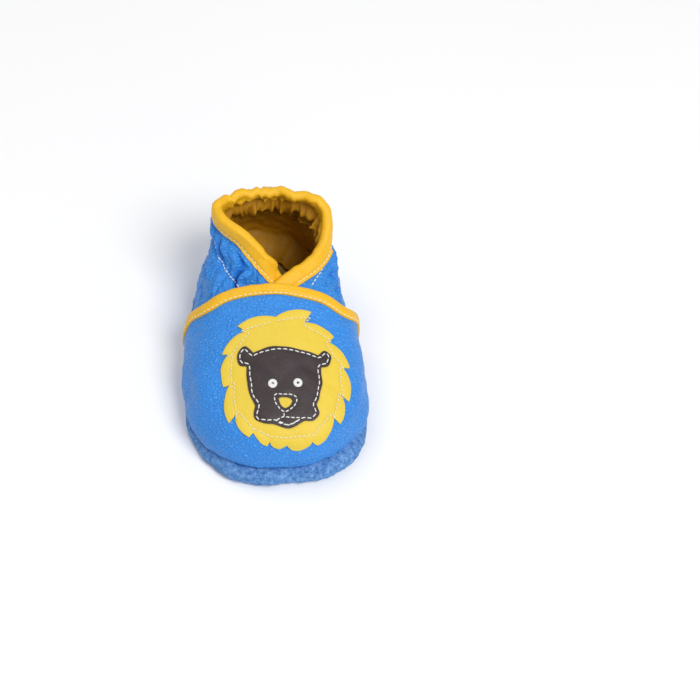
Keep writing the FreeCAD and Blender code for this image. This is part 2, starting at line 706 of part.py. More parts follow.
def stitches(name, rows):
    """Rods along rows of points, one at every pitch."""
    rods = []
    for row in rows:
        reach = [0.0]
        for a, b in zip(row, row[1:]):
            reach.append(reach[-1] + a.distanceToPoint(b))

        def point(goal):
            i = min(max(k for k in range(len(reach)) if reach[k] <= goal + 1e-9), len(row) - 2)
            return row[i] + (row[i + 1] - row[i]) * ((goal - reach[i]) / (reach[i + 1] - reach[i]))

        number = max(1, round(reach[-1] / PITCH))
        pitch = reach[-1] / number
        length = STITCH * min(1.0, pitch / PITCH)
        for i in range(number):
            start, end = point(pitch * (i + 0.5) - length / 2), point(pitch * (i + 0.5) + length / 2)
            rods.append(Part.makeCylinder(THREAD / 2, length, start, end - start))
    made = doc.addObject("Part::Feature", name + "_rods")
    made.Shape = Part.Compound(rods)
    return part(made, name)


BEHIND_VAMP = size("vamp_edge") + 2.5   # stitches in front of this would lie under the vamp
SEAM_INSET = 1.3                        # from the free edge of a tape to its stitches
start = solve(lambda a: body(a, elastic_line(a)).y - BEHIND_VAMP, -0.6, 0.6)
ankle = [(angle, elastic_line(angle)) for angle in between(start, HEEL_END, 60)]
stitches("ankle_stitching", [[at(p, LIFT) for p in ankle + mirrored(ankle)[-2::-1]]])
collar_seam = [walk(place, way, WIDTH - SEAM_INSET) for place, way in zip(*COLLAR_RUN)]
stitches("collar_binding_stitching",
         [[at(p, TAPE_OUT + LIFT) for p in collar_seam if body(*p).y > BEHIND_VAMP]])
arch_seam = [walk(place, way, VAMP_WIDTH - SEAM_INSET) for place, way in zip(*ARCH_RUN)]
stitches("vamp_binding_stitching", [[at(p, VAMP_TAPE_OUT + LIFT) for p in arch_seam[1:-1]]])


def inset_run(run, distance):
    """A closed run of pairs moved in towards its own inside."""
    moved = []
    count = len(run)
    area = sum(a[0] * b[1] - a[1] * b[0] for a, b in zip(run, run[1:] + run[:1]))
    for i in range(count):
        a, b = run[i - 1], run[(i + 1) % count]
        dx, dy = b[0] - a[0], b[1] - a[1]
        scale = math.copysign(distance, area) / math.hypot(dx, dy)
        moved.append((run[i][0] - dy * scale, run[i][1] + dx * scale))
    return moved


def on_leather(run, offset):
    """Points over the leather along a run of pairs, close together."""
    points = []
    for a, b in zip(run, run[1:]):
        pieces = max(1, math.ceil(math.hypot(b[0] - a[0], b[1] - a[1]) / 1.5))
        points += [(blend(a[0], b[0], k / pieces), blend(a[1], b[1], k / pieces)) for k in range(pieces)]
    return [at(on_patch(pair), offset + LIFT) for pair in points + [run[-1]]]


def towards_middle(pair, distance):
    """A pair moved towards the middle of the patch."""
    reach = math.hypot(*pair)
    return pair[0] * (1 - distance / reach), pair[1] * (1 - distance / reach)


mane_run = [towards_middle(MANE_DIP, 1.9)]
for tip, notch in MANE_LEFT:
    mane_run += [towards_middle(tip, 3.0), towards_middle(notch, 1.7)]
for tip, notch in MANE_RIGHT[::-1]:
    mane_run += [towards_middle(notch, 1.7), towards_middle(tip, 3.0)]
stitches("mane_stitching", [on_leather(mane_run + mane_run[:1], MANE_OUT)])
face_run = []
for run in FACE:
    dense = smooth(run).discretize(Number=8)
    face_run += [((p - PATCH).dot(U) / SCALE, (p - PATCH).dot(V) / SCALE) for p in dense[:-1]]
face_run = inset_run(face_run, 1.2)
stitches("face_stitching", [on_leather(face_run + face_run[:1], FACE_OUT)])
stitches("muzzle_stitching", [on_leather(run, FACE_OUT) for run in (NOSE_LOOP, *MOUTH, *LIP)])

# --------------------------------------------------------------------------------------------------
# Check and write
# --------------------------------------------------------------------------------------------------
doc.recompute()
for thing in doc.Objects:
    assert not {"Invalid", "Error"} & set(thing.State), f"{thing.Name}: {thing.State}"
for made in PARTS:
    assert not made.Shape.isNull() and made.Shape.isValid(), f"{made.Label} has no sound shape"
    made.Shape.exportStep(f"parts/{made.Label}.step")
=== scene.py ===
"""Soft-soled baby bootie: the visual model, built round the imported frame.

Sizes are in millimetres on the bootie's own surface and become metres when a mesh is made.  A place on
that surface is (side, turn, height): side is +1 for the wearer's left and -1 for the right, and turn is
the angle from the middle of the toe, 0, round to the middle of the heel, pi.
"""
import logging
import math
from dataclasses import dataclass, field
from enum import Enum
from typing import Callable

import bpy
import numpy as np
from mathutils import Matrix, Vector
from mathutils.geometry import delaunay_2d_cdt

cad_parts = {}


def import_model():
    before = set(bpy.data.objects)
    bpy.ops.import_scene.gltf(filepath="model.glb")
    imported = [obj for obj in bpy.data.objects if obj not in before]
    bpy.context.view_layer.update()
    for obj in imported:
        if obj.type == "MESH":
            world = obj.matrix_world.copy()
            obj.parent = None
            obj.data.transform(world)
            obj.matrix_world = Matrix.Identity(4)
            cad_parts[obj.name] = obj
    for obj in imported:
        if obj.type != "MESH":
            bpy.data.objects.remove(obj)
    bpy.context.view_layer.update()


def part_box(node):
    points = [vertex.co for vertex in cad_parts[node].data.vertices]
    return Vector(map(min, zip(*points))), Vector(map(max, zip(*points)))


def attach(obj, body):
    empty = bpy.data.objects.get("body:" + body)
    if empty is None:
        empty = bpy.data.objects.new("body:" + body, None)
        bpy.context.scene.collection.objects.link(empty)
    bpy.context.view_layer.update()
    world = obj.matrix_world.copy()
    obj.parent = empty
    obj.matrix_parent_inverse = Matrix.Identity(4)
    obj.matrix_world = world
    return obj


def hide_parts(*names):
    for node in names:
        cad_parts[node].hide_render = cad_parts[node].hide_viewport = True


Array = np.ndarray
MM = 0.001
LOG = logging.getLogger("bootie")


# --------------------------------------------------------------------------------------------------
# Numbers and curves
# --------------------------------------------------------------------------------------------------
def ease(value: Array, low: float, high: float) -> Array:
    """Smooth step from 0 at low to 1 at high.

    Args:
        value: where to read the step.
        low: start of the step.
        high: end of the step, below low for a falling step.

    Returns:
        The step's values.
    """
    share = np.clip((np.asarray(value, float) - low) / (high - low), 0.0, 1.0)
    return share * share * (3 - 2 * share)


def unit(vectors: Array) -> Array:
    """Vectors made one long, row by row."""
    return vectors / np.maximum(np.linalg.norm(vectors, axis=-1, keepdims=True), 1e-12)


def solve(function: Callable[[Array], Array], low: Array, high: Array) -> Array:
    """Where a function that grows from low to high crosses nought, for many values at once."""
    low, high = np.array(low, float), np.array(high, float)
    for _ in range(36):
        middle = (low + high) / 2
        under = function(middle) < 0
        low, high = np.where(under, middle, low), np.where(under, high, middle)
    return (low + high) / 2


def arc_lengths(points: Array) -> Array:
    """Distance along a row of points, from its first."""
    steps = np.linalg.norm(np.diff(points, axis=0), axis=1)
    return np.concatenate([[0.0], np.cumsum(steps)])


def rounded_run(run: Array, steps: int) -> Array:
    """Points on a smooth curve through a run of points, the last one left out.

    Args:
        run: the points that it goes through.
        steps: how many pieces each stretch is cut into.

    Returns:
        The points on the curve.
    """
    if len(run) == 2:
        return run[0] + (run[1] - run[0]) * np.linspace(0, 1, steps, endpoint=False)[:, None]
    full = np.vstack([2 * run[0] - run[1], run, 2 * run[-1] - run[-2]])
    made = []
    for a, b, c, d in zip(full, full[1:], full[2:], full[3:]):
        for t in np.linspace(0, 1, steps, endpoint=False):
            made.append(0.5 * (2 * b + (c - a) * t + (2 * a - 5 * b + 4 * c - d) * t * t
                               + (3 * b - a - 3 * c + d) * t ** 3))
    return np.array(made)


@dataclass(frozen=True)
class Profile:
    """Smooth curve through (height, value) points that never overshoots them."""

    points: tuple[tuple[float, float], ...]

    def __call__(self, height: Array) -> Array:
        """Values of the curve at some heights."""
        x, y = np.array(self.points, float).T
        steps, slopes = np.diff(x), np.diff(y) / np.diff(x)
        tangents = np.concatenate([[slopes[0]], np.zeros(len(x) - 2), [slopes[-1]]])
        for i in range(1, len(x) - 1):
            if slopes[i - 1] * slopes[i] > 0:
                before, after = 2 * steps[i] + steps[i - 1], steps[i] + 2 * steps[i - 1]
                tangents[i] = (before + after) / (before / slopes[i - 1] + after / slopes[i])
        height = np.clip(np.asarray(height, float), x[0], x[-1])
        i = np.clip(np.searchsorted(x, height, "right") - 1, 0, len(x) - 2)
        t = (height - x[i]) / steps[i]
        rise = t * t * (3 - 2 * t)
        bend = steps[i] * (tangents[i] * t * (1 - t) ** 2 - tangents[i + 1] * t * t * (1 - t))
        return y[i] * (1 - rise) + y[i + 1] * rise + bend


@dataclass(frozen=True)
class Rumple:
    """Soft random unevenness of about one wavelength, between about -1 and 1, the same every run."""

    wavelength: float
    seed: int
    waves: int = 12

    def __call__(self, points: Array) -> Array:
        """Values at some points, of any number of coordinates."""
        points = np.atleast_2d(np.asarray(points, float))
        draw = np.random.default_rng(self.seed)
        ways = unit(draw.normal(size=(self.waves, points.shape[-1])))
        ways *= 2 * math.pi / self.wavelength * draw.uniform(0.6, 1.4, (self.waves, 1))
        starts = draw.uniform(0, 2 * math.pi, self.waves)
        total = np.zeros(points.shape[0])
        for way, start in zip(ways, starts):
            total += np.sin(points @ way + start)
        return total / math.sqrt(self.waves * 1.1)


def folds(along: Array, wavelength: float, drift: Array) -> Array:
    """Round-topped folds with sharp valleys, between about -0.64 and 0.36.

    Args:
        along: distance along the seam that gathers them.
        wavelength: distance from valley to valley.
        drift: how far each point's folds wander, in wavelengths.

    Returns:
        Height of the folds.
    """
    wave = np.abs(np.sin(math.pi * (along / wavelength + drift)))
    return wave ** 0.8 - 0.68


# --------------------------------------------------------------------------------------------------
# Finishes
# --------------------------------------------------------------------------------------------------
def linear(colour: tuple[int, int, int]) -> tuple[float, float, float, float]:
    """Screen colour of 0 to 255 as the colour that a shader takes."""
    made = []
    for channel in colour:
        share = channel / 255
        made.append(share / 12.92 if share <= 0.04045 else ((share + 0.055) / 1.055) ** 2.4)
    return (*made, 1.0)


@dataclass
class Shader:
    """A material's node tree, with short ways to add and join nodes."""

    material: bpy.types.Material

    @classmethod
    def new(cls, name: str) -> "Shader":
        """Fresh material with a plain shader in it."""
        material = bpy.data.materials.new(name)
        material.use_nodes = True
        return cls(material)

    @property
    def surface(self) -> bpy.types.Node:
        """The main shader."""
        return self.material.node_tree.nodes["Principled BSDF"]

    def node(self, kind: str, **settings: object) -> bpy.types.Node:
        """New node with some of its settings.

        Args:
            kind: the node's type.
            settings: attributes, and the values of inputs by their names.

        Returns:
            The node.
        """
        made = self.material.node_tree.nodes.new(kind)
        for key, value in settings.items():
            if hasattr(made, key):
                setattr(made, key, value)
            else:
                made.inputs[key].default_value = value
        return made

    def join(self, start: bpy.types.NodeSocket, end: bpy.types.NodeSocket) -> None:
        """Link one socket to another."""
        self.material.node_tree.links.new(start, end)

    def place(self, scale: tuple[float, float, float] = (1, 1, 1)) -> bpy.types.NodeSocket:
        """Place on the object, in millimetres times a scale."""
        where = self.node("ShaderNodeTexCoord")
        spread = self.node("ShaderNodeMapping")
        spread.inputs["Scale"].default_value = [1000 * s for s in scale]
        self.join(where.outputs["Object"], spread.inputs["Vector"])
        return spread.outputs["Vector"]

    def noise(self, place: bpy.types.NodeSocket, per_mm: float, detail: float = 2.0,
              roughness: float = 0.5) -> bpy.types.NodeSocket:
        """Cloudy noise, per_mm clouds to the millimetre."""
        made = self.node("ShaderNodeTexNoise", Scale=per_mm, Detail=detail, Roughness=roughness)
        self.join(place, made.inputs["Vector"])
        return made.outputs["Fac"]

    def sums(self, kind: str, first: object, second: object, third: object = None) -> bpy.types.NodeSocket:
        """Math node of a kind on two or three numbers or sockets."""
        made = self.node("ShaderNodeMath", operation=kind)
        for number, value in enumerate((first, second, third)):
            if isinstance(value, bpy.types.NodeSocket):
                self.join(value, made.inputs[number])
            elif value is not None:
                made.inputs[number].default_value = value
        return made.outputs[0]

    def ramp(self, value: bpy.types.NodeSocket, *stops: tuple[float, tuple]) -> bpy.types.NodeSocket:
        """Colour ramp through (place, colour) stops."""
        made = self.node("ShaderNodeValToRGB")
        stops_made = made.color_ramp.elements
        while len(stops_made) < len(stops):
            stops_made.new(0.5)
        for element, (place, colour) in zip(stops_made, stops):
            element.position, element.color = place, colour
        self.join(value, made.inputs["Fac"])
        return made.outputs["Color"]

    def bump(self, height: bpy.types.NodeSocket, depth_mm: float) -> None:
        """Give the shader a bump that is a depth high from nought to one."""
        made = self.node("ShaderNodeBump", Strength=1.0)
        made.inputs["Distance"].default_value = depth_mm * MM
        self.join(height, made.inputs["Height"])
        self.join(made.outputs["Normal"], self.surface.inputs["Normal"])

    def spread(self, value: bpy.types.NodeSocket, low: float, high: float) -> bpy.types.NodeSocket:
        """Number from nought to one spread out between two numbers."""
        made = self.node("ShaderNodeMapRange")
        made.inputs["To Min"].default_value, made.inputs["To Max"].default_value = low, high
        self.join(value, made.inputs["Value"])
        return made.outputs["Result"]


@dataclass(frozen=True)
class Leather:
    """Grained leather: cells with creases between them, painted shade in the creases, uneven dye and a soft
    shine.
    """

    name: str
    colour: tuple[int, int, int]
    # colour of the painted shade in the creases of the grain
    crease_shade_colour: tuple[int, int, int]
    grain: float
    depth: float
    roughness: tuple[float, float] = (0.42, 0.56)
    mottle: float = 0.08
    streak: tuple[float, float, float] = (1, 1, 1)

    def make(self) -> bpy.types.Material:
        """The material."""
        shader = Shader.new(self.name)
        place = shader.place(self.streak)
        # cells that wander a little, so they do not look stamped
        wander = shader.node("ShaderNodeTexNoise", Scale=0.9 / self.grain, Detail=1.0)
        shader.join(place, wander.inputs["Vector"])
        pull = shader.node("ShaderNodeVectorMath", operation="MULTIPLY_ADD")
        shader.join(wander.outputs["Color"], pull.inputs[0])
        pull.inputs[1].default_value = [0.9 * self.grain] * 3
        shader.join(place, pull.inputs[2])
        cells = shader.node("ShaderNodeTexVoronoi", feature="DISTANCE_TO_EDGE", Scale=1 / self.grain)
        shader.join(pull.outputs[0], cells.inputs["Vector"])
        tops = shader.node("ShaderNodeTexVoronoi", feature="SMOOTH_F1", Scale=1 / self.grain)
        tops.inputs["Smoothness"].default_value = 0.35
        shader.join(pull.outputs[0], tops.inputs["Vector"])
        crease = shader.node("ShaderNodeMapRange", interpolation_type="SMOOTHSTEP")
        crease.inputs["From Max"].default_value = 0.42
        shader.join(cells.outputs["Distance"], crease.inputs["Value"])
        patches = shader.noise(place, 0.16, 3.0)
        strength = shader.spread(patches, 0.35, 1.15)
        pores = shader.noise(place, 5.0, 2.0)
        domes = shader.sums("MULTIPLY", shader.sums("SUBTRACT", 1.0, tops.outputs["Distance"]), 0.9)
        height = shader.sums("MULTIPLY", shader.sums("ADD", crease.outputs["Result"], domes), strength)
        shader.bump(shader.sums("ADD", height, shader.sums("MULTIPLY", pores, 0.16)), self.depth)
        # colour: painted shade darkens the creases, and the dye is a little uneven over the hide
        blend = shader.node("ShaderNodeMix", data_type="RGBA")
        crease_shade_factor = shader.sums("MULTIPLY_ADD", crease.outputs["Result"], 0.45, 0.55)
        shader.join(crease_shade_factor, blend.inputs["Factor"])
        blend.inputs["A"].default_value = linear(self.crease_shade_colour)
        blend.inputs["B"].default_value = linear(self.colour)
        shade = shader.node("ShaderNodeHueSaturation")
        cloud = shader.spread(shader.noise(place, 0.07, 4.0, 0.6), 1 - self.mottle, 1 + self.mottle)
        shader.join(cloud, shade.inputs["Value"])
        shader.join(blend.outputs["Result"], shade.inputs["Color"])
        shader.join(shade.outputs["Color"], shader.surface.inputs["Base Color"])
        shader.join(shader.spread(patches, *self.roughness), shader.surface.inputs["Roughness"])
        shader.surface.inputs["Specular IOR Level"].default_value = 0.34
        return shader.material


@dataclass(frozen=True)
class Suede:
    """Brushed nap: short fibres lying in patches, no shine, a pale bloom at grazing light."""

    name: str
    colour: tuple[int, int, int]
    dark: tuple[int, int, int]
    pale: tuple[int, int, int]
    nap: float = 0.14

    def make(self) -> bpy.types.Material:
        """The material."""
        shader = Shader.new(self.name)
        place = shader.place()
        fibre = shader.noise(place, 3.2, 4.0, 0.75)
        brushed = shader.noise(place, 0.55, 4.0, 0.7)
        mix = shader.sums("MULTIPLY_ADD", brushed, 0.6, shader.sums("MULTIPLY", fibre, 0.4))
        colour = shader.ramp(mix, (0.36, linear(self.dark)), (0.5, linear(self.colour)),
                             (0.66, linear(self.pale)))
        shader.join(colour, shader.surface.inputs["Base Color"])
        fluff = shader.sums("MULTIPLY_ADD", brushed, 0.9, fibre)
        shader.bump(fluff, self.nap)
        surface = shader.surface.inputs
        surface["Roughness"].default_value = 0.95
        surface["Specular IOR Level"].default_value = 0.12
        surface["Sheen Weight"].default_value = 0.35
        surface["Sheen Roughness"].default_value = 0.45
        surface["Sheen Tint"].default_value = linear(self.pale)
        return shader.material


@dataclass(frozen=True)
class Thread:
    """Twisted sewing thread, with painted shade in the grooves of its twist."""

    name: str
    colour: tuple[int, int, int]

    def make(self) -> bpy.types.Material:
        """The material."""
        shader = Shader.new(self.name)
        place = shader.place()
        strands = shader.node("ShaderNodeTexWave", Scale=1.3, Distortion=2.0)
        strands.bands_direction = "DIAGONAL"
        shader.join(place, strands.inputs["Vector"])
        # painted shade: darker along the twist's grooves, where the bump dips
        shade = shader.node("ShaderNodeMix", data_type="RGBA")
        shader.join(strands.outputs["Fac"], shade.inputs["Factor"])
        shade.inputs["A"].default_value = linear(tuple(int(c * 0.84) for c in self.colour))
        shade.inputs["B"].default_value = linear(self.colour)
        shader.join(shade.outputs["Result"], shader.surface.inputs["Base Color"])
        shader.bump(shader.sums("ADD", strands.outputs["Fac"], shader.noise(place, 9.0, 2.0)), 0.03)
        shader.surface.inputs["Roughness"].default_value = 0.6
        shader.surface.inputs["Sheen Weight"].default_value = 0.2
        return shader.material


class Weave(Enum):
    """How a cloth is made."""

    PLAIN = "plain"
    RIBBED = "ribbed"
    FOAM = "foam"


@dataclass(frozen=True)
class Cloth:
    """Woven cloth, ribbed elastic or open foam, with painted shade in its hollows."""

    name: str
    colour: tuple[int, int, int]
    weave: Weave
    pitch: float = 0.7

    def make(self) -> bpy.types.Material:
        """The material."""
        shader = Shader.new(self.name)
        place = shader.place()
        fuzz = shader.noise(place, 4.0, 3.0, 0.6)
        if self.weave is Weave.FOAM:
            cells = shader.node("ShaderNodeTexVoronoi", Scale=1 / self.pitch)
            shader.join(place, cells.inputs["Vector"])
            height = cells.outputs["Distance"]
        else:
            threads = []
            for way in ("X", "Y") if self.weave is Weave.PLAIN else ("X",):
                wave = shader.node("ShaderNodeTexWave", Scale=0.314 / self.pitch, Distortion=0.6)
                wave.bands_direction = way
                shader.join(place, wave.inputs["Vector"])
                threads.append(wave.outputs["Fac"])
            height = shader.sums("MAXIMUM", threads[0], threads[-1])
        # painted shade: darker in the hollows of the weave, ribs or foam cells, with a random fuzz of tone
        # mixed in
        dark = tuple(int(c * 0.78) for c in self.colour)
        mix = shader.sums("MULTIPLY_ADD", height, 0.7, shader.sums("MULTIPLY", fuzz, 0.3))
        shader.join(shader.ramp(mix, (0.1, linear(dark)), (0.8, linear(self.colour))),
                    shader.surface.inputs["Base Color"])
        shader.bump(shader.sums("MULTIPLY_ADD", fuzz, 0.3, height), 0.12)
        shader.surface.inputs["Roughness"].default_value = 0.9
        shader.surface.inputs["Sheen Weight"].default_value = 0.15
        return shader.material


@dataclass(frozen=True)
class Paper:
    """Smooth pale studio floor, the least bit uneven."""

    name: str = "studio_floor"
    colour: tuple[int, int, int] = (246, 246, 247)

    def make(self) -> bpy.types.Material:
        """The material."""
        shader = Shader.new(self.name)
        tone = shader.noise(shader.place(), 0.004, 2.0)
        pale = tuple(min(255, c + 2) for c in self.colour)
        shader.join(shader.ramp(tone, (0.3, linear(self.colour)), (0.7, linear(pale))),
                    shader.surface.inputs["Base Color"])
        shader.surface.inputs["Roughness"].default_value = 0.9
        shader.surface.inputs["Specular IOR Level"].default_value = 0.1
        return shader.material


@dataclass(frozen=True)
class Finishes:
    """Every finish of the bootie, by the name of its slot."""

    blue_leather: Leather = Leather("blue_leather", (62, 154, 240), (26, 102, 194), 1.25, 0.34,
                                    (0.32, 0.46), 0.07, (0.75, 1, 1))
    blue_suede: Suede = Suede("blue_suede", (88, 138, 200), (46, 88, 148), (146, 186, 230))
    yellow_leather: Leather = Leather("yellow_leather", (250, 198, 38), (206, 142, 12), 0.5, 0.04,
                                      (0.4, 0.5), 0.05)
    lemon_leather: Leather = Leather("lemon_leather", (234, 206, 72), (212, 178, 52), 0.6, 0.03,
                                     (0.45, 0.6), 0.04)
    brown_leather: Leather = Leather("brown_leather", (62, 50, 52), (40, 31, 34), 0.55, 0.03,
                                     (0.42, 0.6), 0.12, (0.35, 1, 1))
    lining: Leather = Leather("lining", (196, 142, 20), (146, 98, 8), 0.55, 0.05, (0.5, 0.65), 0.18)
    foam: Cloth = Cloth("foam", (232, 228, 214), Weave.FOAM, 0.5)
    insole_fabric: Cloth = Cloth("insole_fabric", (196, 160, 84), Weave.PLAIN, 0.6)
    elastic: Cloth = Cloth("elastic", (236, 234, 228), Weave.RIBBED, 0.8)
    white_thread: Thread = Thread("white_thread", (250, 250, 246))
    yellow_thread: Thread = Thread("yellow_thread", (255, 244, 190))
    cream_thread: Thread = Thread("cream_thread", (252, 240, 190))

    def make(self) -> dict[str, bpy.types.Material]:
        """Every material by its slot."""
        return {slot: getattr(self, slot).make() for slot in self.__dataclass_fields__}


# --------------------------------------------------------------------------------------------------
# Meshes
# --------------------------------------------------------------------------------------------------
@dataclass
class Workshop:
    """Makes meshes into finished pieces that ride on the bootie's one body."""

    materials: dict[str, bpy.types.Material]
    made: list[str] = field(default_factory=list)

    def piece(self, name: str, points: Array, faces: list, slot: str, node: str,
              sharp: float = 60.0) -> bpy.types.Object:
        """A closed mesh as a piece with its finish, standing for a node of the frame.

        Args:
            name: the piece's name.
            points: corners in millimetres.
            faces: corner numbers of each face.
            slot: the finish.
            node: the node that it replaces.
            sharp: edges that turn more than this many degrees stay crisp.

        Returns:
            The piece.
        """
        mesh = bpy.data.meshes.new(name)
        mesh.from_pydata((points * MM).tolist(), [], [list(map(int, face)) for face in faces])
        mesh.update()
        if self.volume(mesh) < 0:
            mesh.flip_normals()
        piece = bpy.data.objects.new(name, mesh)
        bpy.context.scene.collection.objects.link(piece)
        return self.finish(piece, slot, node, sharp)

    def finish(self, piece: bpy.types.Object, slot: str, node: str,
               sharp: float) -> bpy.types.Object:
        """Shade a piece, give it its material and set it on the frame."""
        bpy.ops.object.select_all(action="DESELECT")
        piece.select_set(True)
        bpy.context.view_layer.objects.active = piece
        bpy.ops.object.shade_smooth_by_angle(angle=math.radians(sharp))
        piece.data.materials.clear()
        piece.data.materials.append(self.materials[slot])
        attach(piece, "root")
        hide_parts(node)
        self.made.append(piece.name)
        LOG.info("%s: %d faces", piece.name, len(piece.data.polygons))
        return piece

    @staticmethod
    def volume(mesh: bpy.types.Mesh) -> float:
        """Signed volume inside a closed mesh, below nought when it is inside out."""
        mesh.calc_loop_triangles()
        corners = np.empty(len(mesh.vertices) * 3)
        mesh.vertices.foreach_get("co", corners)
        triangles = np.empty(len(mesh.loop_triangles) * 3, int)
        mesh.loop_triangles.foreach_get("vertices", triangles)
        a, b, c = corners.reshape(-1, 3)[triangles.reshape(-1, 3)].transpose(1, 0, 2)
        return float((a * np.cross(b, c)).sum() / 6)


def quads(numbers: Array) -> Array:
    """Four-cornered faces over a grid of corner numbers."""
    corners = (numbers[:-1, :-1], numbers[1:, :-1], numbers[1:, 1:], numbers[:-1, 1:])
    return np.stack([corner.ravel() for corner in corners], 1)


def slab(outer: Array, inner: Array) -> tuple[Array, list]:
    """Closed skin round two grids of points that face each other.

    Args:
        outer: grid of rows of points.
        inner: the same on the other face.

    Returns:
        Points and faces.
    """
    rows, count = outer.shape[:2]
    numbers = np.arange(rows * count).reshape(rows, count)
    shift = rows * count
    sheet = quads(numbers)
    faces = [sheet, sheet[:, ::-1] + shift]
    for rim in (numbers[:, 0][::-1], numbers[:, -1], numbers[0], numbers[-1][::-1]):
        faces.append(np.stack([rim[:-1], rim[1:], rim[1:] + shift, rim[:-1] + shift], 1))
    points = np.vstack([outer.reshape(-1, 3), inner.reshape(-1, 3)])
    return points, np.vstack(faces).tolist()


def tube(sections: Array) -> tuple[Array, list]:
    """Closed skin through a row of closed sections, its two ends filled."""
    rows, count = sections.shape[:2]
    numbers = np.arange(rows * count).reshape(rows, count)
    around = np.hstack([numbers, numbers[:, :1]])
    faces = quads(around).tolist()
    faces += [numbers[0].tolist(), numbers[-1][::-1].tolist()]
    return sections.reshape(-1, 3), faces


def rings(levels: Array) -> tuple[Array, list]:
    """Closed skin through a row of closed rings, its first and last ring drawn to a point."""
    rows, count = levels.shape[:2]
    numbers = np.arange(rows * count).reshape(rows, count)
    around = np.hstack([numbers, numbers[:, :1]])
    faces = quads(around).tolist()
    points = np.vstack([levels.reshape(-1, 3), levels[0].mean(0), levels[-1].mean(0)])
    for i in range(count):
        faces.append([around[0, i + 1], around[0, i], rows * count])
        faces.append([around[-1, i], around[-1, i + 1], rows * count + 1])
    return points, faces


# --------------------------------------------------------------------------------------------------
# The bootie's surface
# --------------------------------------------------------------------------------------------------
@dataclass(frozen=True)
class Stack:
    """Layers of the upper, as distances out from the body surface."""

    quarter: tuple[float, float] = (0.0, -1.1)
    elastic: tuple[float, float] = (-1.18, -1.88)
    lining: tuple[float, float] = (-1.96, -2.66)
    collar_tape: tuple[float, float] = (0.78, -3.2)
    vamp: tuple[float, float] = (2.74, 1.64)
    vamp_tape: tuple[float, float] = (3.52, 0.86)
    mane: tuple[float, float] = (3.50, 2.76)
    face: tuple[float, float] = (4.20, 3.52)


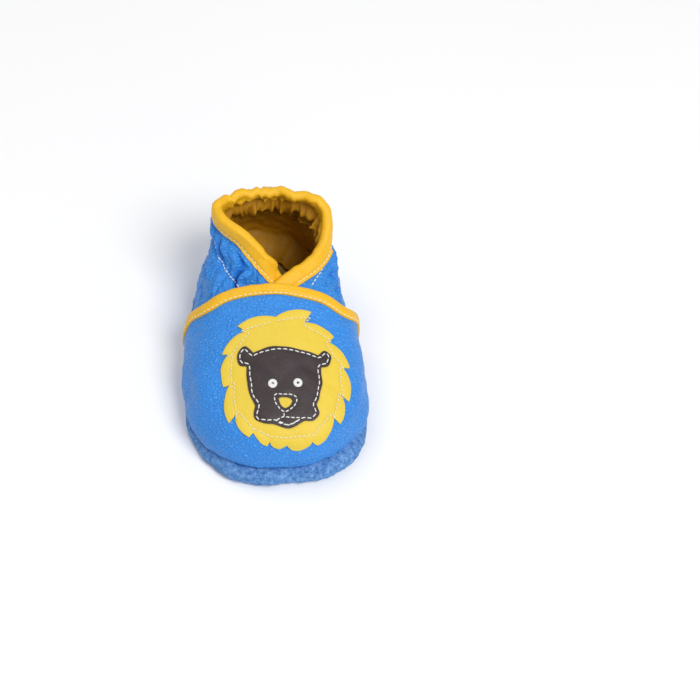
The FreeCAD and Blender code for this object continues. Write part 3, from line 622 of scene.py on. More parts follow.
@dataclass
class Form:
    """Outer face of the quarter with all its bulges, gathers and folds, which every layer follows."""

    toe: float
    heel: float
    waist: float
    collar: float
    foot: float
    collar_top: float
    back_top: float = 45.0
    throat: float = 38.4
    vamp_edge: float = 7.2
    vamp_edge_low: float = 4.6
    shoulder: float = 31.0
    flare: float = 0.13
    flare_top: float = 50.0
    overlap: float = math.radians(17)

    def __post_init__(self) -> None:
        """Draw the outlines and measure the elastic's line."""
        t, h, w, c, b = self.toe, self.heel, self.waist, self.collar, self.back_top
        self.front = Profile(((0, 3 - t), (8, 0.7 - t), (13, -t), (20, 2.2 - t), (27.4, 16.8 - t),
                              (33.3, 36.7 - t), (self.throat, 4.1), (43.5, 12.5), (52, 16), (66, 17)))
        self.back = Profile(((0, h - 7), (8, h - 2.5), (16, h), (28, h - 1), (38, h - 5.5),
                             (44, b + 4), (50, b + 2), (60, b - 1), (66, b - 1)))
        self.half = Profile(((0, w - 2), (8, w - 0.5), (13, w), (20, w - 1), (26, w - 4.1),
                             (32, w - 7.1), (37, w - 8), (43, c + 0.5), (50, c), (66, c + 0.5)))
        self.square = Profile(((0, 2.9), (20, 2.8), (28, 2.1), (33, 1.7), (38, 1.5), (43, 1.4), (66, 1.4)))
        self.widest = Profile(((0, 3), (20, 3), (26, 8), (32, 19), (38, 27), (44, 33), (50, 35), (66, 35)))
        turns = np.linspace(0, math.pi, 181)

        def above(z: Array) -> Array:
            return z - (37.5 + 6.5 * (self.plain(1, turns, z)[:, 1] - 8) / (b - 8))

        self.ankle_turns, self.ankle_heights = turns, solve(above, np.full(181, 28.0), np.full(181, 50.0))
        self.ankle_runs = arc_lengths(self.plain(1, turns, self.ankle_heights))

    # ---- the smooth body
    def plain(self, side: Array, turn: Array, height: Array) -> Array:
        """Points of the smooth body, before any bulge or fold."""
        side, turn, z = np.broadcast_arrays(*(np.asarray(v, float) for v in (side, turn, height)))
        angle = turn - math.pi / 2
        cosine, sine = np.cos(angle), np.sin(angle)
        square, widest = self.square(z), self.widest(z)
        power = square + (2.3 - square) * (sine + 1) / 2
        length = np.where(sine > 0, self.back(z) - widest, widest - self.front(z))
        reach = (np.abs(cosine / self.half(z)) ** power + np.abs(sine / length) ** power) ** (-1 / power)
        flare = self.flare * np.maximum(0, 1 - z / self.flare_top)
        return np.stack([side * reach * cosine * (1 - flare * sine), widest + reach * sine, z], -1)

    def ankle(self, turn: Array) -> Array:
        """Height of the elastic's stitch line."""
        return np.interp(np.abs(turn), self.ankle_turns, self.ankle_heights)

    def from_heel(self, side: Array, turn: Array) -> Array:
        """Distance along the stitch line from the middle of the heel, below nought on the right."""
        return side * (self.ankle_runs[-1] - np.interp(np.abs(turn), self.ankle_turns, self.ankle_runs))

    # ---- edges
    def edge_y(self, height: Array, forward: float, left: Array) -> Array:
        """How far back a line lies that runs forward of the vamp's top edge.

        Args:
            height: heights on the line.
            forward: how far it runs forward of the edge.
            left: 1 on the wearer's left and 0 on the right, where the edge bows forward less.

        Returns:
            The distances.
        """
        height = np.asarray(height, float)
        share = np.clip((height - self.foot) / (self.throat - self.foot), 0, 1)
        right_bow = 2.0 * np.exp(-((height - 31) / 5) ** 2)
        left_bow = 5.4 * np.exp(-((height - 30) / 7) ** 2)
        bow = right_bow + (left_bow - right_bow) * left
        return self.vamp_edge_low + (self.vamp_edge - self.vamp_edge_low) * share - bow - forward

    def flank(self, height: Array, forward: float, left: Array = 0.5) -> Array:
        """Turn at which such a line crosses the flank at some heights."""
        height = np.atleast_1d(np.asarray(height, float))

        def behind(turn: Array) -> Array:
            return self.plain(1, turn, height)[:, 1] - self.edge_y(height, forward, left)

        return solve(behind, np.zeros(len(height)), np.full(len(height), 2.2))

    def instep(self, turn: Array, forward: float, left: Array = 0.5) -> Array:
        """Height at which such a line crosses the instep at some turns."""
        turn = np.atleast_1d(np.asarray(turn, float))

        def behind(height: Array) -> Array:
            return self.plain(1, turn, height)[:, 1] - self.edge_y(height, forward, left)

        return solve(behind, np.full(len(turn), self.shoulder - 3.0), np.full(len(turn), 48.0))

    def collar_edge(self, side: Array, turn: Array) -> Array:
        """Height of the quarter's cut edge at the collar; the two flaps of the V lie differently."""
        turn = np.degrees(turn)
        top = self.collar_top - 1.0
        right = Profile(((-24, 36.6), (-10.7, 40.4), (-4.3, 42.0), (10, 45.6), (30, 50.2), (52, top),
                         (85, top + 0.9), (130, top - 0.2), (181, top - 0.6)))
        left = Profile(((-24, 36.5), (0, 40.0), (10, 40.8), (26, 41.4), (45, 41.9), (63, 43.0),
                        (80, 46.2), (97, 51.0), (112, top), (181, top - 0.6)))
        height = np.where(np.asarray(side) < 0, right(turn), left(turn))
        gathered = ease(turn, 75, 105)
        run = self.from_heel(side, np.radians(turn))
        wave = Rumple(13.0, 31)(np.stack([run, np.zeros_like(run)], -1).reshape(-1, 2)).reshape(run.shape)
        return height + gathered * 0.5 * wave

    # ---- bulges, gathers and folds
    def relief(self, side: Array, turn: Array, points: Array) -> Array:
        """How far the real leather stands out from the smooth body.

        Args:
            side: side of each point.
            turn: turn of each point.
            points: the points on the smooth body.

        Returns:
            Distance outwards.
        """
        y, z = points[:, 1], points[:, 2]
        run = self.from_heel(side, turn)
        above = z - self.ankle(turn)
        behind = ease(y, 6.5, 12)
        below = above < 0
        wander = Rumple(11, 3)(points)
        strong = 0.6 + 0.4 * Rumple(16, 4)(points)
        total = np.zeros(len(points))
        # gathers that fan out from the elastic's stitch line
        for wavelength, reach, depth, seed in ((3.3, 3.5, 0.9, 5), (6.3, 8.5, 2.0, 6), (11.0, 14.0, 2.2, 7)):
            drift = 0.30 * wander + 0.35 * Rumple(2.6 * wavelength, seed)(points)
            spread = np.exp(-(np.abs(above) / np.where(below, 1.5 * reach, reach)) ** 1.4)
            total += behind * strong * depth * spread * folds(run, wavelength, drift)
        # pinched at the stitches, puffed above and below them
        total += behind * -1.35 * np.exp(-(above / 1.7) ** 2)
        total += behind * 1.15 * np.exp(-((above - 4.6) / 2.6) ** 2)
        total += behind * 0.9 * np.exp(-((above + 8.5) / 5.5) ** 2)
        # the collar's rim, gathered round the heel
        rim = ease(z, 45.5, 54.0) * ease(np.degrees(turn), 70, 110)
        flat_run = np.stack([run, 0 * run], -1)
        total += rim * (0.75 * Rumple(12, 8)(flat_run) + 0.3 * Rumple(5, 15)(flat_run))
        # slack in the hide, and puckers drawn in by the seam with the sole
        total += 0.34 * Rumple(19, 9)(points) + 0.11 * Rumple(6.5, 10)(points)
        total += behind * (0.42 * Rumple(13, 11)(points) - 0.55 * np.abs(Rumple(8, 16)(points)) ** 0.7)
        # the two flaps of the V lie calm along their tape
        down = self.collar_edge(side, turn) - z
        total *= 1 - 0.88 * ease(down, 8.0, 4.0) * ease(np.degrees(turn), 125, 90)
        low = np.exp(-np.maximum(0, z - self.foot) / 3.0)
        total += 0.75 * low * folds(run * 1.35, 5.2, 0.5 * Rumple(12, 12)(points)) * strong
        # the turned-in edge at the sole
        total -= 2.9 * (1 - ease(z, self.foot - 1.2, self.foot + 2.8))
        degrees = np.degrees(np.abs(turn))
        corner = np.exp(-((degrees - 39) / 17) ** 2)
        total += (0.3 + 2.1 * corner) * np.exp(-((z - self.foot - 3.0) / 5.5) ** 2)
        total -= 1.6 * ease(points[:, 0], 8, 26) * np.exp(-((z - 14) / 10) ** 2) * ease(degrees, 100, 70)
        return total

    def seam_wave(self, points: Array) -> Array:
        """How far the seam with the sole rises and falls."""
        return 0.45 * Rumple(17, 13)(points[:, :2]) + 0.22 * Rumple(6, 14)(points[:, :2])

    def sink(self, side: Array, turn: Array) -> Array:
        """How far the right flap dips to pass under the left one at the V."""
        return np.where(side < 0, -3.9 * (1 - ease(np.degrees(turn), -4, 16)), 0.0)

    def outward(self, side: Array, turn: Array, height: Array) -> Array:
        """Outward direction of the smooth body, level at the sole."""
        around = self.plain(side, turn + 0.01, height) - self.plain(side, turn - 0.01, height)
        upward = self.plain(side, turn, height + 0.02) - self.plain(side, turn, height - 0.02)
        normal = unit(np.cross(around, upward)) * side[:, None]
        normal[:, 2] *= 1 - ease(height, self.foot + 3, self.foot)
        return unit(normal)

    def skin(self, side: Array, turn: Array, height: Array) -> Array:
        """Points of the real body surface, folds and all."""
        side, turn, height = (np.ravel(v) for v in np.broadcast_arrays(side, turn, height))
        points = self.plain(side, turn, height)
        out = self.relief(side, turn, points) + self.sink(side, turn)
        moved = points + self.outward(side, turn, height) * out[:, None]
        moved[:, 2] += self.seam_wave(points) * ease(height, self.foot + 9, self.foot)
        return moved

    def at(self, side: Array, turn: Array, height: Array, offset: Array = 0.0) -> Array:
        """Points at an offset outside the real surface, square to it."""
        side, turn, height = (np.ravel(np.asarray(v, float)) for v in np.broadcast_arrays(side, turn, height))
        points = self.skin(side, turn, height)
        return points + self.normal(side, turn, height) * np.ravel(offset)[..., None]

    def normal(self, side: Array, turn: Array, height: Array) -> Array:
        """Outward direction of the real surface, folds and all."""
        side, turn, height = (np.ravel(np.asarray(v, float)) for v in np.broadcast_arrays(side, turn, height))
        around = self.skin(side, turn + 0.008, height) - self.skin(side, turn - 0.008, height)
        upward = self.skin(side, turn, height + 0.18) - self.skin(side, turn, height - 0.18)
        normal = np.cross(around, upward) * side[:, None]
        level = ease(height, self.foot + 3, self.foot)
        normal = unit(normal)
        normal[:, 2] *= 1 - level
        return unit(normal)

    def walk(self, side: Array, turn: Array, height: Array, way: Array, length: float) -> tuple[Array, Array]:
        """Places reached by going a length over the smooth body in some directions."""
        turn, height = np.array(turn, float), np.array(height, float)
        steps = max(1, math.ceil(abs(length) / 0.5))
        for _ in range(steps):
            around = (self.plain(side, turn + 0.005, height) - self.plain(side, turn - 0.005, height)) / 0.01
            up = (self.plain(side, turn, height + 0.01) - self.plain(side, turn, height - 0.01)) / 0.02
            a, b, c = (around ** 2).sum(1), (around * up).sum(1), (up ** 2).sum(1)
            p, q = (way * around).sum(1), (way * up).sum(1)
            turned, risen = (p * c - q * b) / (a * c - b * b), (q * a - p * b) / (a * c - b * b)
            scale = (length / steps) / np.linalg.norm(around * turned[:, None] + up * risen[:, None], axis=1)
            turn, height = turn + turned * scale, height + risen * scale
        return turn, np.maximum(height, self.foot)

    def layer(self, side: Array, turn: Array, height: Array, outer: Array,
              inner: Array) -> tuple[Array, list]:
        """Closed leather layer over a grid of places."""
        middle = self.skin(side, turn, height)
        normal = self.outward(side.ravel(), turn.ravel(), height.ravel())
        faces = [(middle + normal * np.broadcast_to(o, turn.shape).ravel()[:, None]).reshape(*turn.shape, 3)
                 for o in (outer, inner)]
        return slab(*faces)


# --------------------------------------------------------------------------------------------------
# Sub-assemblies
# --------------------------------------------------------------------------------------------------
@dataclass
class SoleUnit:
    """Suede sole with its turned-in edge, foam pad and cloth cover."""

    form: Form
    shop: Workshop
    toe: float
    heel: float
    half_width: float
    rim: float
    leather: float = 1.6
    flank_inset: float = 2.3
    corner_outset: float = 1.1
    toe_square: float = 2.9
    heel_square: float = 2.3
    widest: float = 3.0
    flare: float = 0.13
    sectors: int = 420

    def outline(self, inset: Array) -> Array:
        """Rings of the sole's outline moved in, one for each inset."""
        angle = np.linspace(0, 2 * math.pi, self.sectors, endpoint=False)[None, :]
        inset = np.asarray(inset, float)[:, None]
        shrink = np.clip(1 - (inset - 22) / 16, 0.02, 1)
        cosine, sine = np.cos(angle), np.sin(angle)
        inset = np.minimum(inset, 22)
        inset = inset + self.flank_inset * cosine ** 2 * ease(sine, 0.6, 0.0)
        inset = inset - self.corner_outset * np.exp(-((np.abs(cosine) - 0.63) / 0.24) ** 2) * (sine < 0)
        power = self.toe_square + (self.heel_square - self.toe_square) * (sine + 1) / 2
        middle = self.widest
        length = np.where(sine > 0, self.heel - inset - middle, middle + self.toe - inset)
        reach = (np.abs(cosine / (self.half_width - inset)) ** power + np.abs(sine / length) ** power)
        reach = reach ** (-1 / power) * shrink
        return np.stack([reach * cosine * (1 - self.flare * sine), middle + reach * sine], -1)

    def build_suede(self) -> None:
        """Tray of soft suede, its side bulging out below the seam."""
        rim, thick = self.rim, self.leather
        path = [(38, 0.35), (30, 0.3), (22, 0.25), (15, 0.2), (9, 0.1), (5.5, 0.0), (3.6, 0.05), (2.2, 0.25),
                (1.2, 0.75), (0.5, 1.5), (0.1, 2.4), (0.0, 3.3), (0.15, 4.3), (0.5, 5.2), (0.95, 6.0),
                (1.5, 6.7), (2.1, 7.3), (2.8, 7.75), (3.6, rim - 0.05), (5.0, rim - 0.2), (6.6, rim - 0.3),
                (7.6, rim - 0.5), (7.8, rim - 1.1), (7.4, rim - thick), (6.0, rim - thick - 0.1),
                (4.4, rim - thick - 0.3), (2.7, rim - thick - 0.9), (1.8, 4.6), (1.7, 3.2), (2.4, 2.1),
                (4.0, thick + 0.1), (8, thick), (15, thick), (22, thick), (30, thick), (38, thick)]
        inset, height = np.array(path).T
        flat = self.outline(inset)
        levels = np.concatenate([flat, np.repeat(height[:, None, None], self.sectors, 1)], -1)
        outward = unit(flat[11] - flat[4])
        low = levels.reshape(-1, 3)
        side = (ease(height, 0.2, 1.5) * (inset < 3.4))[:, None]
        bulge = (0.45 * Rumple(15, 21)(low) + 0.22 * Rumple(5, 22)(low) + 0.1 * Rumple(2, 23)(low))
        levels[..., :2] += outward[None] * (bulge.reshape(levels.shape[:2]) * side)[..., None]
        wave = self.form.seam_wave(levels[17])
        levels[..., 2] += wave[None, :] * ease(height, 1.5, rim)[:, None]
        levels[..., 2] = np.maximum(levels[..., 2], 0.0)
        self.shop.piece("suede_sole", *rings(levels), "blue_suede", "suede_outsole", 80)

    def build_insole(self) -> None:
        """Foam pad with a rounded rim, and its cloth cover."""
        for name, node, slot, low, high, crown in (
                ("insole_foam", "insole_pad", "foam", *self.heights("insole_pad"), 0.25),
                ("insole_cloth", "insole_cover", "insole_fabric", *self.heights("insole_cover"), 0.25)):
            start, end = (np.array(v) * 1000 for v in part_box(node))
            tall = high - low
            steps = np.linspace(0, math.pi, 9)
            rim_in = (1 - np.sin(steps)) * tall * 0.45
            rim_up = low + tall / 2 - np.cos(steps) * tall / 2
            inset = np.concatenate([[24, 16, 9, 4, 2], rim_in, [2, 4, 9, 16, 24]])
            up = np.concatenate([[low] * 5, rim_up, [high] * 5])
            levels = []
            for one, z in zip(inset, up):
                ring = self.insole_ring(start, end, one)
                levels.append(np.concatenate([ring, np.full((len(ring), 1), z)], 1))
            levels = np.array(levels)
            dome = crown * (1 - ease(np.abs(levels[..., 0]), 8, 26)) * 0.6
            dome += 0.1 * Rumple(14, 25)(levels.reshape(-1, 3)).reshape(dome.shape)
            levels[..., 2] += np.where(np.isin(np.arange(len(up)), (0, 1, 2, 3, 4))[:, None]
                                       & (node == "insole_pad"), 0, dome)
            piece = self.shop.piece(name, *rings(levels), slot, node, 60)

    @staticmethod
    def heights(node: str) -> tuple[float, float]:
        """Lowest and highest height of a node, in millimetres."""
        low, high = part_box(node)
        return low.z * 1000, high.z * 1000

    @staticmethod
    def insole_ring(start: Array, end: Array, inset: float) -> Array:
        """Outline of the insole, a wide round toe and a narrower round heel, moved in."""
        wide, narrow = end[0] - inset, end[0] - 5 - inset
        toe_y, heel_y = start[1] + end[0], end[1] - (end[0] - 5)
        wide, narrow = max(wide, 1.5), max(narrow, 1.0)
        toe = [(wide * math.cos(a), toe_y + wide * math.sin(a)) for a in np.linspace(-math.pi, 0, 61)]
        heel = [(narrow * math.cos(a), heel_y + narrow * math.sin(a)) for a in np.linspace(0, math.pi, 61)]
        return np.array(toe + heel)


@dataclass
class Quarter:
    """Leather round the heel with its lining and the elastic between them."""

    form: Form
    shop: Workshop
    stack: Stack
    around: int = 215
    across: int = 76

    def grid(self, around: int, across: int, short: float, trim: float) -> tuple[Array, Array, Array]:
        """Places of a panel from the right flap round the heel to the left flap.

        Args:
            around: stations on each side.
            across: places up each station.
            short: how far the panel ends before the overlap's end, in radians.
            trim: how far below the collar's edge it ends.

        Returns:
            Grids of side, turn and height.
        """
        turn = np.linspace(-self.form.overlap + short, math.pi, around)
        hidden = self.form.instep(np.clip(turn, 0, self.form.flank([self.form.shoulder], 0)[0]), 10)
        corner = self.form.flank([self.form.foot], 10)[0]
        low = np.where(turn > corner, self.form.foot, hidden)
        low = self.form.foot + (hidden - self.form.foot) * ease(turn, corner + 0.02, corner - 0.25)
        share = np.linspace(0, 1, across)[None, :]
        rows = []
        for side in (-1, 1):
            high = self.form.collar_edge(np.full(around, side), turn) - trim
            height = low[:, None] + (high - low)[:, None] * share
            rows.append((np.full_like(height, side), np.repeat(turn[:, None], across, 1), height))
        right, left = rows
        return tuple(np.vstack([a, b[-2::-1]]) for a, b in zip(right, left))

    def build(self) -> None:
        """Leather, elastic and lining."""
        outer, inner = self.stack.quarter
        side, turn, height = self.grid(self.around, self.across, 0.0, 0.0)
        self.shop.piece("heel_leather", *self.form.layer(side, turn, height, outer, inner),
                        "blue_leather", "quarter", 50)
        self.build_elastic()
        self.build_lining()

    def build_elastic(self) -> None:
        """Ribbed band inside the casing."""
        turn = np.linspace(1.35, math.pi, 90)
        share = np.linspace(-2.6, 2.6, 9)[None, :]
        height = self.form.ankle(turn)[:, None] + share
        turn = np.repeat(turn[:, None], 9, 1)
        side = np.vstack([np.full_like(turn, -1), np.full_like(turn[1:], 1)])
        turn, height = np.vstack([turn, turn[-2::-1]]), np.vstack([height, height[-2::-1]])
        self.shop.piece("elastic_tape", *self.form.layer(side, turn, height, *self.stack.elastic),
                        "elastic", "elastic_band", 50)

    def build_lining(self) -> None:
        """Lining leather, gathered into finer folds of its own."""
        side, turn, height = self.grid(170, 58, 0.02, 0.0)
        outer, inner = self.stack.lining
        places = (side.ravel(), turn.ravel(), height.ravel())
        points = self.form.plain(*places)
        run = self.form.from_heel(places[0], places[1])
        above = places[2] - self.form.ankle(places[1])
        drift = 0.5 * Rumple(9, 41)(points)
        gather = folds(run, 8.3, drift) * 1.3 + folds(run, 4.1, 0.6 * drift) * 0.5
        behind = ease(points[:, 1], 10, 20)
        depth = np.exp(-(np.abs(above + 5) / 11.0) ** 2) * behind * (1 - ease(above, -2.5, 4.5))
        skirt = -5.4 * np.exp(-((places[2] - self.form.foot) / 3.2) ** 2)
        shift = ((gather - 0.35) * depth * 2.0 + skirt).reshape(side.shape)
        shift = np.minimum(shift, 0.0)
        faces = self.form.layer(side, turn, height, outer + shift, inner + shift)
        piece = self.shop.piece("lining_leather", *faces, "lining", "quarter_lining", 50)


@dataclass
class Binding:
    """Leather tape rolled over a cut edge and sewn through near its free edges."""

    form: Form
    shop: Workshop
    name: str
    node: str
    outer: float
    inner: float
    width: float = 5.0
    tape: float = 0.7
    crown: float = 0.8
    pucker: float = 0.16

    def directions(self, side: Array, turn: Array, height: Array) -> Array:
        """Directions into the leather, square to the edge, smoothed along it."""
        points = self.form.plain(side, turn, height)
        run = np.gradient(points, axis=0)
        normal = self.form.outward(side, turn, height)
        ways = unit(np.cross(normal, run))
        for _ in range(24):
            ways[1:-1] = unit(ways[:-2] + ways[1:-1] * 2 + ways[2:])
        return ways

    def build(self, side: Array, turn: Array, height: Array) -> tuple[Array, Array]:
        """Roll the tape over an edge given as a row of places.

        Args:
            side: side of each place.
            turn: turn of each place.
            height: height of each place.

        Returns:
            Points along the seam on the outer face, and the directions out of the leather there.
        """
        form = self.form
        ways = self.directions(side, turn, height)
        base = form.skin(side, turn, height)
        along = arc_lengths(base)
        widths = self.width * np.array([1, 0.955, 0.88, 0.82, 0.76, 0.71, 0.64, 0.5, 0.34, 0.18, 0.07, 0])
        seam = widths[4]
        crease = 0.42 * np.exp(-((widths - seam) / 0.42) ** 2)
        puff = 0.18 * np.exp(-((widths - 0.42 * self.width) / (0.26 * self.width)) ** 2)
        edge = np.where(widths >= self.width - 0.01, -0.22, 0.0)
        tug = 0.55 + 0.45 * np.cos(2 * math.pi * along / 2.0)
        lumps = self.pucker * Rumple(4.2, 51)(np.stack([along, 0 * along], -1))
        outs, ins, under_out, under_in = [], [], [], []
        seam_points = seam_normals = None
        for w, dip, rise, drop in zip(widths, crease, puff, edge):
            t, h = form.walk(side, turn, height, ways, w) if w else (turn, height)
            skin, normal = form.skin(side, t, h), form.outward(side, t, h)
            free = ease(w, 0.3, 0.8 * self.width)
            lift = (rise + drop - dip * (0.75 + 0.25 * tug) + lumps * (1 - 0.5 * free))[:, None]
            outs.append(skin + normal * (self.outer + lift))
            under_out.append(skin + normal * (self.outer - self.tape + np.minimum(lift, 0) * 0.4))
            inward = (puff[0] + rise - dip * 0.6)
            ins.append(skin + normal * (self.inner - inward))
            under_in.append(skin + normal * (self.inner + self.tape))
            if w == seam:
                seam_points, seam_normals = outs[-1], normal
        skin, normal = form.skin(side, turn, height), form.outward(side, turn, height)
        away = -unit(ways - normal * (ways * normal).sum(1)[:, None])
        middle, radius = (self.outer + self.inner) / 2, (self.outer - self.inner) / 2
        rolls = []
        for reach, sweep in ((radius, np.linspace(0, math.pi, 11)[1:-1]),
                             (radius - self.tape, np.linspace(math.pi, 0, 9)[1:-1])):
            for angle in sweep:
                lift = (lumps * math.sin(angle))[:, None]
                rolls.append(skin + normal * (middle + reach * math.cos(angle))
                             + away * (math.sin(angle) * reach * self.crown + 0.3 + lift))
        sections = outs + rolls[:9] + ins[::-1] + under_in + rolls[9:] + under_out[::-1]
        self.shop.piece(self.name, *tube(np.stack(sections, 1)), "yellow_leather", self.node, 55)
        return seam_points, seam_normals


@dataclass
class Collar:
    """Tape round the collar, from one flap of the V round the heel to the other."""

    form: Form
    shop: Workshop
    stack: Stack

    def build(self) -> tuple[Array, Array]:
        """Roll the tape and give back its seam."""
        turn = np.linspace(-self.form.overlap, math.pi, 190)
        rows = [(np.full(190, s, float), turn, self.form.collar_edge(np.full(190, s), turn)) for s in (-1, 1)]
        side, turn, height = (np.concatenate([a, b[-2::-1]]) for a, b in zip(*rows))
        tape = Binding(self.form, self.shop, "collar_tape", "collar_binding", *self.stack.collar_tape,
                       pucker=0.2)
        points = self.form.plain(side, turn, height)
        keep = np.concatenate([[True], np.linalg.norm(np.diff(points, axis=0), axis=1) > 1e-4])
        return tape.build(side[keep], turn[keep], height[keep])


@dataclass
class Vamp:
    """Leather over the toes and the tape on its top edge."""

    form: Form
    shop: Workshop
    stack: Stack
    around: int = 281
    across: int = 112

    def build(self) -> tuple[Array, Array]:
        """Leather and tape; gives back the tape's seam."""
        form = self.form
        share = np.linspace(-1, 1, self.around)
        left = (share > 0).astype(float)
        widest = form.flank(np.full(self.around, form.shoulder), 0, left)
        top = form.instep(np.abs(share) * widest, 0, self.leftness(share * widest))
        top = np.where(np.abs(share) > 0.999, form.shoulder, top)
        up = np.linspace(0, 1, self.across) ** 0.85
        height = form.foot + (top - form.foot)[:, None] * up[None, :]
        left = np.repeat(left[:, None], self.across, 1)
        flank = form.flank(np.minimum(height, form.shoulder).ravel(), 0, left.ravel()).reshape(height.shape)
        turn = share[:, None] * flank
        side = np.ones_like(turn)
        outer, inner = self.stack.vamp
        self.shop.piece("toe_leather", *form.layer(side, turn, height, outer, inner), "blue_leather",
                        "vamp", 50)
        return self.build_tape()

    @staticmethod
    def leftness(turn: Array) -> Array:
        """How much a place on the instep belongs to the wearer's left, from its signed turn."""
        return ease(turn, -0.5, 0.5)

    def build_tape(self) -> tuple[Array, Array]:
        """Tape on the vamp's edge from sole to sole over the instep."""
        form = self.form
        halves = []
        for hand in (1.0, -1.0):
            left = 1.0 if hand > 0 else 0.0
            heights = np.linspace(form.foot, form.shoulder, 60)
            lower = np.stack([form.flank(heights, 0, left) * hand, heights], 1)
            turns = np.linspace(form.flank([form.shoulder], 0, left)[0], 0, 70)[1:]
            upper = np.stack([turns * hand, form.instep(turns, 0, self.leftness(turns * hand))], 1)
            halves.append(np.vstack([lower, upper]))
        turn, height = np.vstack([halves[0], halves[1][-2::-1]]).T
        # even out the spacing
        reach = arc_lengths(form.plain(1, turn, height))
        goal = np.linspace(0, reach[-1], 230)
        turn, height = np.interp(goal, reach, turn), np.interp(goal, reach, height)
        tape = Binding(form, self.shop, "toe_tape", "vamp_binding", *self.stack.vamp_tape,
                       width=3.4, crown=0.9, pucker=0.1)
        return tape.build(np.ones_like(turn), turn, height)


@dataclass
class Patch:
    """Lion sewn on the vamp: a mane of tufts under a darker face with a cut-out nose."""

    form: Form
    shop: Workshop
    stack: Stack
    side: float = 1.5
    centre: float = 30.4
    height: float = 30.2
    tilt: float = math.radians(20)
    spacing: float = 0.8
    dip: tuple[float, float] = (-2.9, 24.6)
    left_tufts: tuple = (((10.5, 27.0), (7.6, 22.4)), ((18.6, 17.1), (16.1, 14.5)),
                         ((23.6, 4.6), (20.9, 4.6)), ((22.5, -8.6), (19.8, -6.7)),
                         ((18.1, -17.2), (16.1, -15.4)), ((9.5, -23.5), (7.6, -22.7)),
                         ((0.4, -24.8), (-1.4, -23.5)))
    right_tufts: tuple = (((-16.7, 22.1), (-14.1, 19.7)), ((-22.8, 11.1), (-20.9, 10.8)),
                          ((-23.3, -1.9), (-21.3, -1.3)), ((-21.7, -15.6), (-19.8, -13.4)),
                          ((-15.2, -21.1), (-13.8, -19.9)), ((-8.8, -23.8), (-7.6, -22.8)),
                          ((-4.2, -24.6), (-1.4, -23.5)))
    face: tuple = (((-14.5, 5.4), (-16.9, 6.0), (-17.4, 9.5), (-16.0, 12.1), (-14.1, 12.9), (-11.6, 10.0)),
                   ((-11.6, 10.0), (-6.5, 11.8), (-0.2, 12.0), (6.4, 10.9), (11.4, 8.8)),
                   ((11.4, 8.8), (14.0, 10.7), (16.3, 8.5), (15.4, 4.8), (12.4, 3.8)),
                   ((12.4, 3.8), (12.1, -2.3), (11.2, -7.1), (9.8, -10.9)),
                   ((9.8, -10.9), (10.4, -14.2), (8.4, -16.7), (5.0, -17.3)),
                   ((5.0, -17.3), (1.4, -18.6), (-1.8, -19.0), (-6.5, -17.1)),
                   ((-6.5, -17.1), (-10.1, -16.4), (-12.9, -14.8), (-12.5, -10.7)),
                   ((-12.5, -10.7), (-14.0, -6.3), (-14.6, 0.3), (-14.5, 5.4)))
    nose: tuple = ((-4.2, -8.5), (-2.7, -7.5), (-0.3, -7.5), (1.3, -8.8), (0.5, -10.8), (-1.4, -11.9),
                   (-3.3, -10.7), (-4.2, -8.5))
    nose_loop: tuple = ((-5.6, -7.7), (-4.4, -6.4), (-2.0, -6.3), (0.7, -6.4), (2.8, -7.5), (2.8, -9.3),
                        (1.5, -11.5), (-1.4, -13.2), (-3.5, -11.9), (-5.2, -9.7), (-5.6, -7.7))
    mouth: tuple = (((-2.0, -13.5), (-2.0, -15.1)), ((-5.5, -16.3), (-2.0, -15.1), (3.4, -16.2)))
    lip: tuple = ((-4.9, -16.9), (-3.8, -17.4), (-1.4, -17.9), (0.9, -17.5), (3.1, -16.7))
    eyes: tuple = (("right_eye", (-5.6, -2.0)), ("left_eye", (3.4, -2.3)))

    # ---- from the flat pattern to the leather
    def places(self, flat: Array) -> tuple[Array, Array]:
        """Turns and heights on the body under points of the flat pattern."""
        across, up = np.array([1, 0, 0.0]), np.array([0, math.cos(self.tilt), math.sin(self.tilt)])
        out = np.cross(across, up)
        centre = np.array([self.side, -self.centre, self.height])
        start = centre + flat[:, :1] * across + flat[:, 1:2] * up

        def outside(depth: Array) -> Array:
            point = start + depth[:, None] * out
            gap = self.beside(point)[0]
            return np.where(point[:, 2] > self.form.foot, gap, -1)

        depth = solve(outside, np.full(len(flat), -25.0), np.full(len(flat), 15.0))
        point = start + depth[:, None] * out
        return self.beside(point)[1], point[:, 2]

    def beside(self, point: Array) -> tuple[Array, Array]:
        """How far points lie outside the smooth body, measured level, and their turns."""
        x, y, z = point.T
        form = self.form
        flare, widest = form.flare * np.maximum(0, 1 - z / form.flare_top), form.widest(z)
        angle = np.arctan2(y - widest, x)
        for _ in range(5):
            narrow = x / (1 - flare * np.sin(angle))
            angle = np.arctan2(y - widest, narrow)
        edge = form.plain(1, angle + math.pi / 2, z)
        edge_x = edge[:, 0] / (1 - flare * np.sin(angle))
        reach = np.hypot(narrow, y - widest) - np.hypot(edge_x, edge[:, 1] - widest)
        turn = angle + math.pi / 2
        return reach, np.where(turn > math.pi, turn - 2 * math.pi, turn)

    # ---- outlines
    def mane_outline(self) -> Array:
        """Tuft by tuft round the mane."""
        runs = []
        for tufts in (self.left_tufts, self.right_tufts):
            start, run = np.array(self.dip), []
            for tip, notch in tufts:
                tip, notch = np.array(tip), np.array(notch)
                way = tip - start
                bulge = np.array([way[1], -way[0]])
                if bulge @ (start + tip) < 0:
                    bulge = -bulge
                share = np.linspace(0, 1, 12, endpoint=False)[:, None]
                run.append(start + way * share + bulge * 0.52 * share * (1 - share))
                run.append(tip + (notch - tip) * np.linspace(0, 1, 4, endpoint=False)[:, None])
                start = notch
            runs.append(np.vstack([*run, start[None]]))
        left, right = runs
        return np.vstack([left, right[-2:0:-1]])

    def face_outline(self) -> Array:
        """Run by run round the face."""
        return np.vstack([rounded_run(np.array(run), 8) for run in self.face])

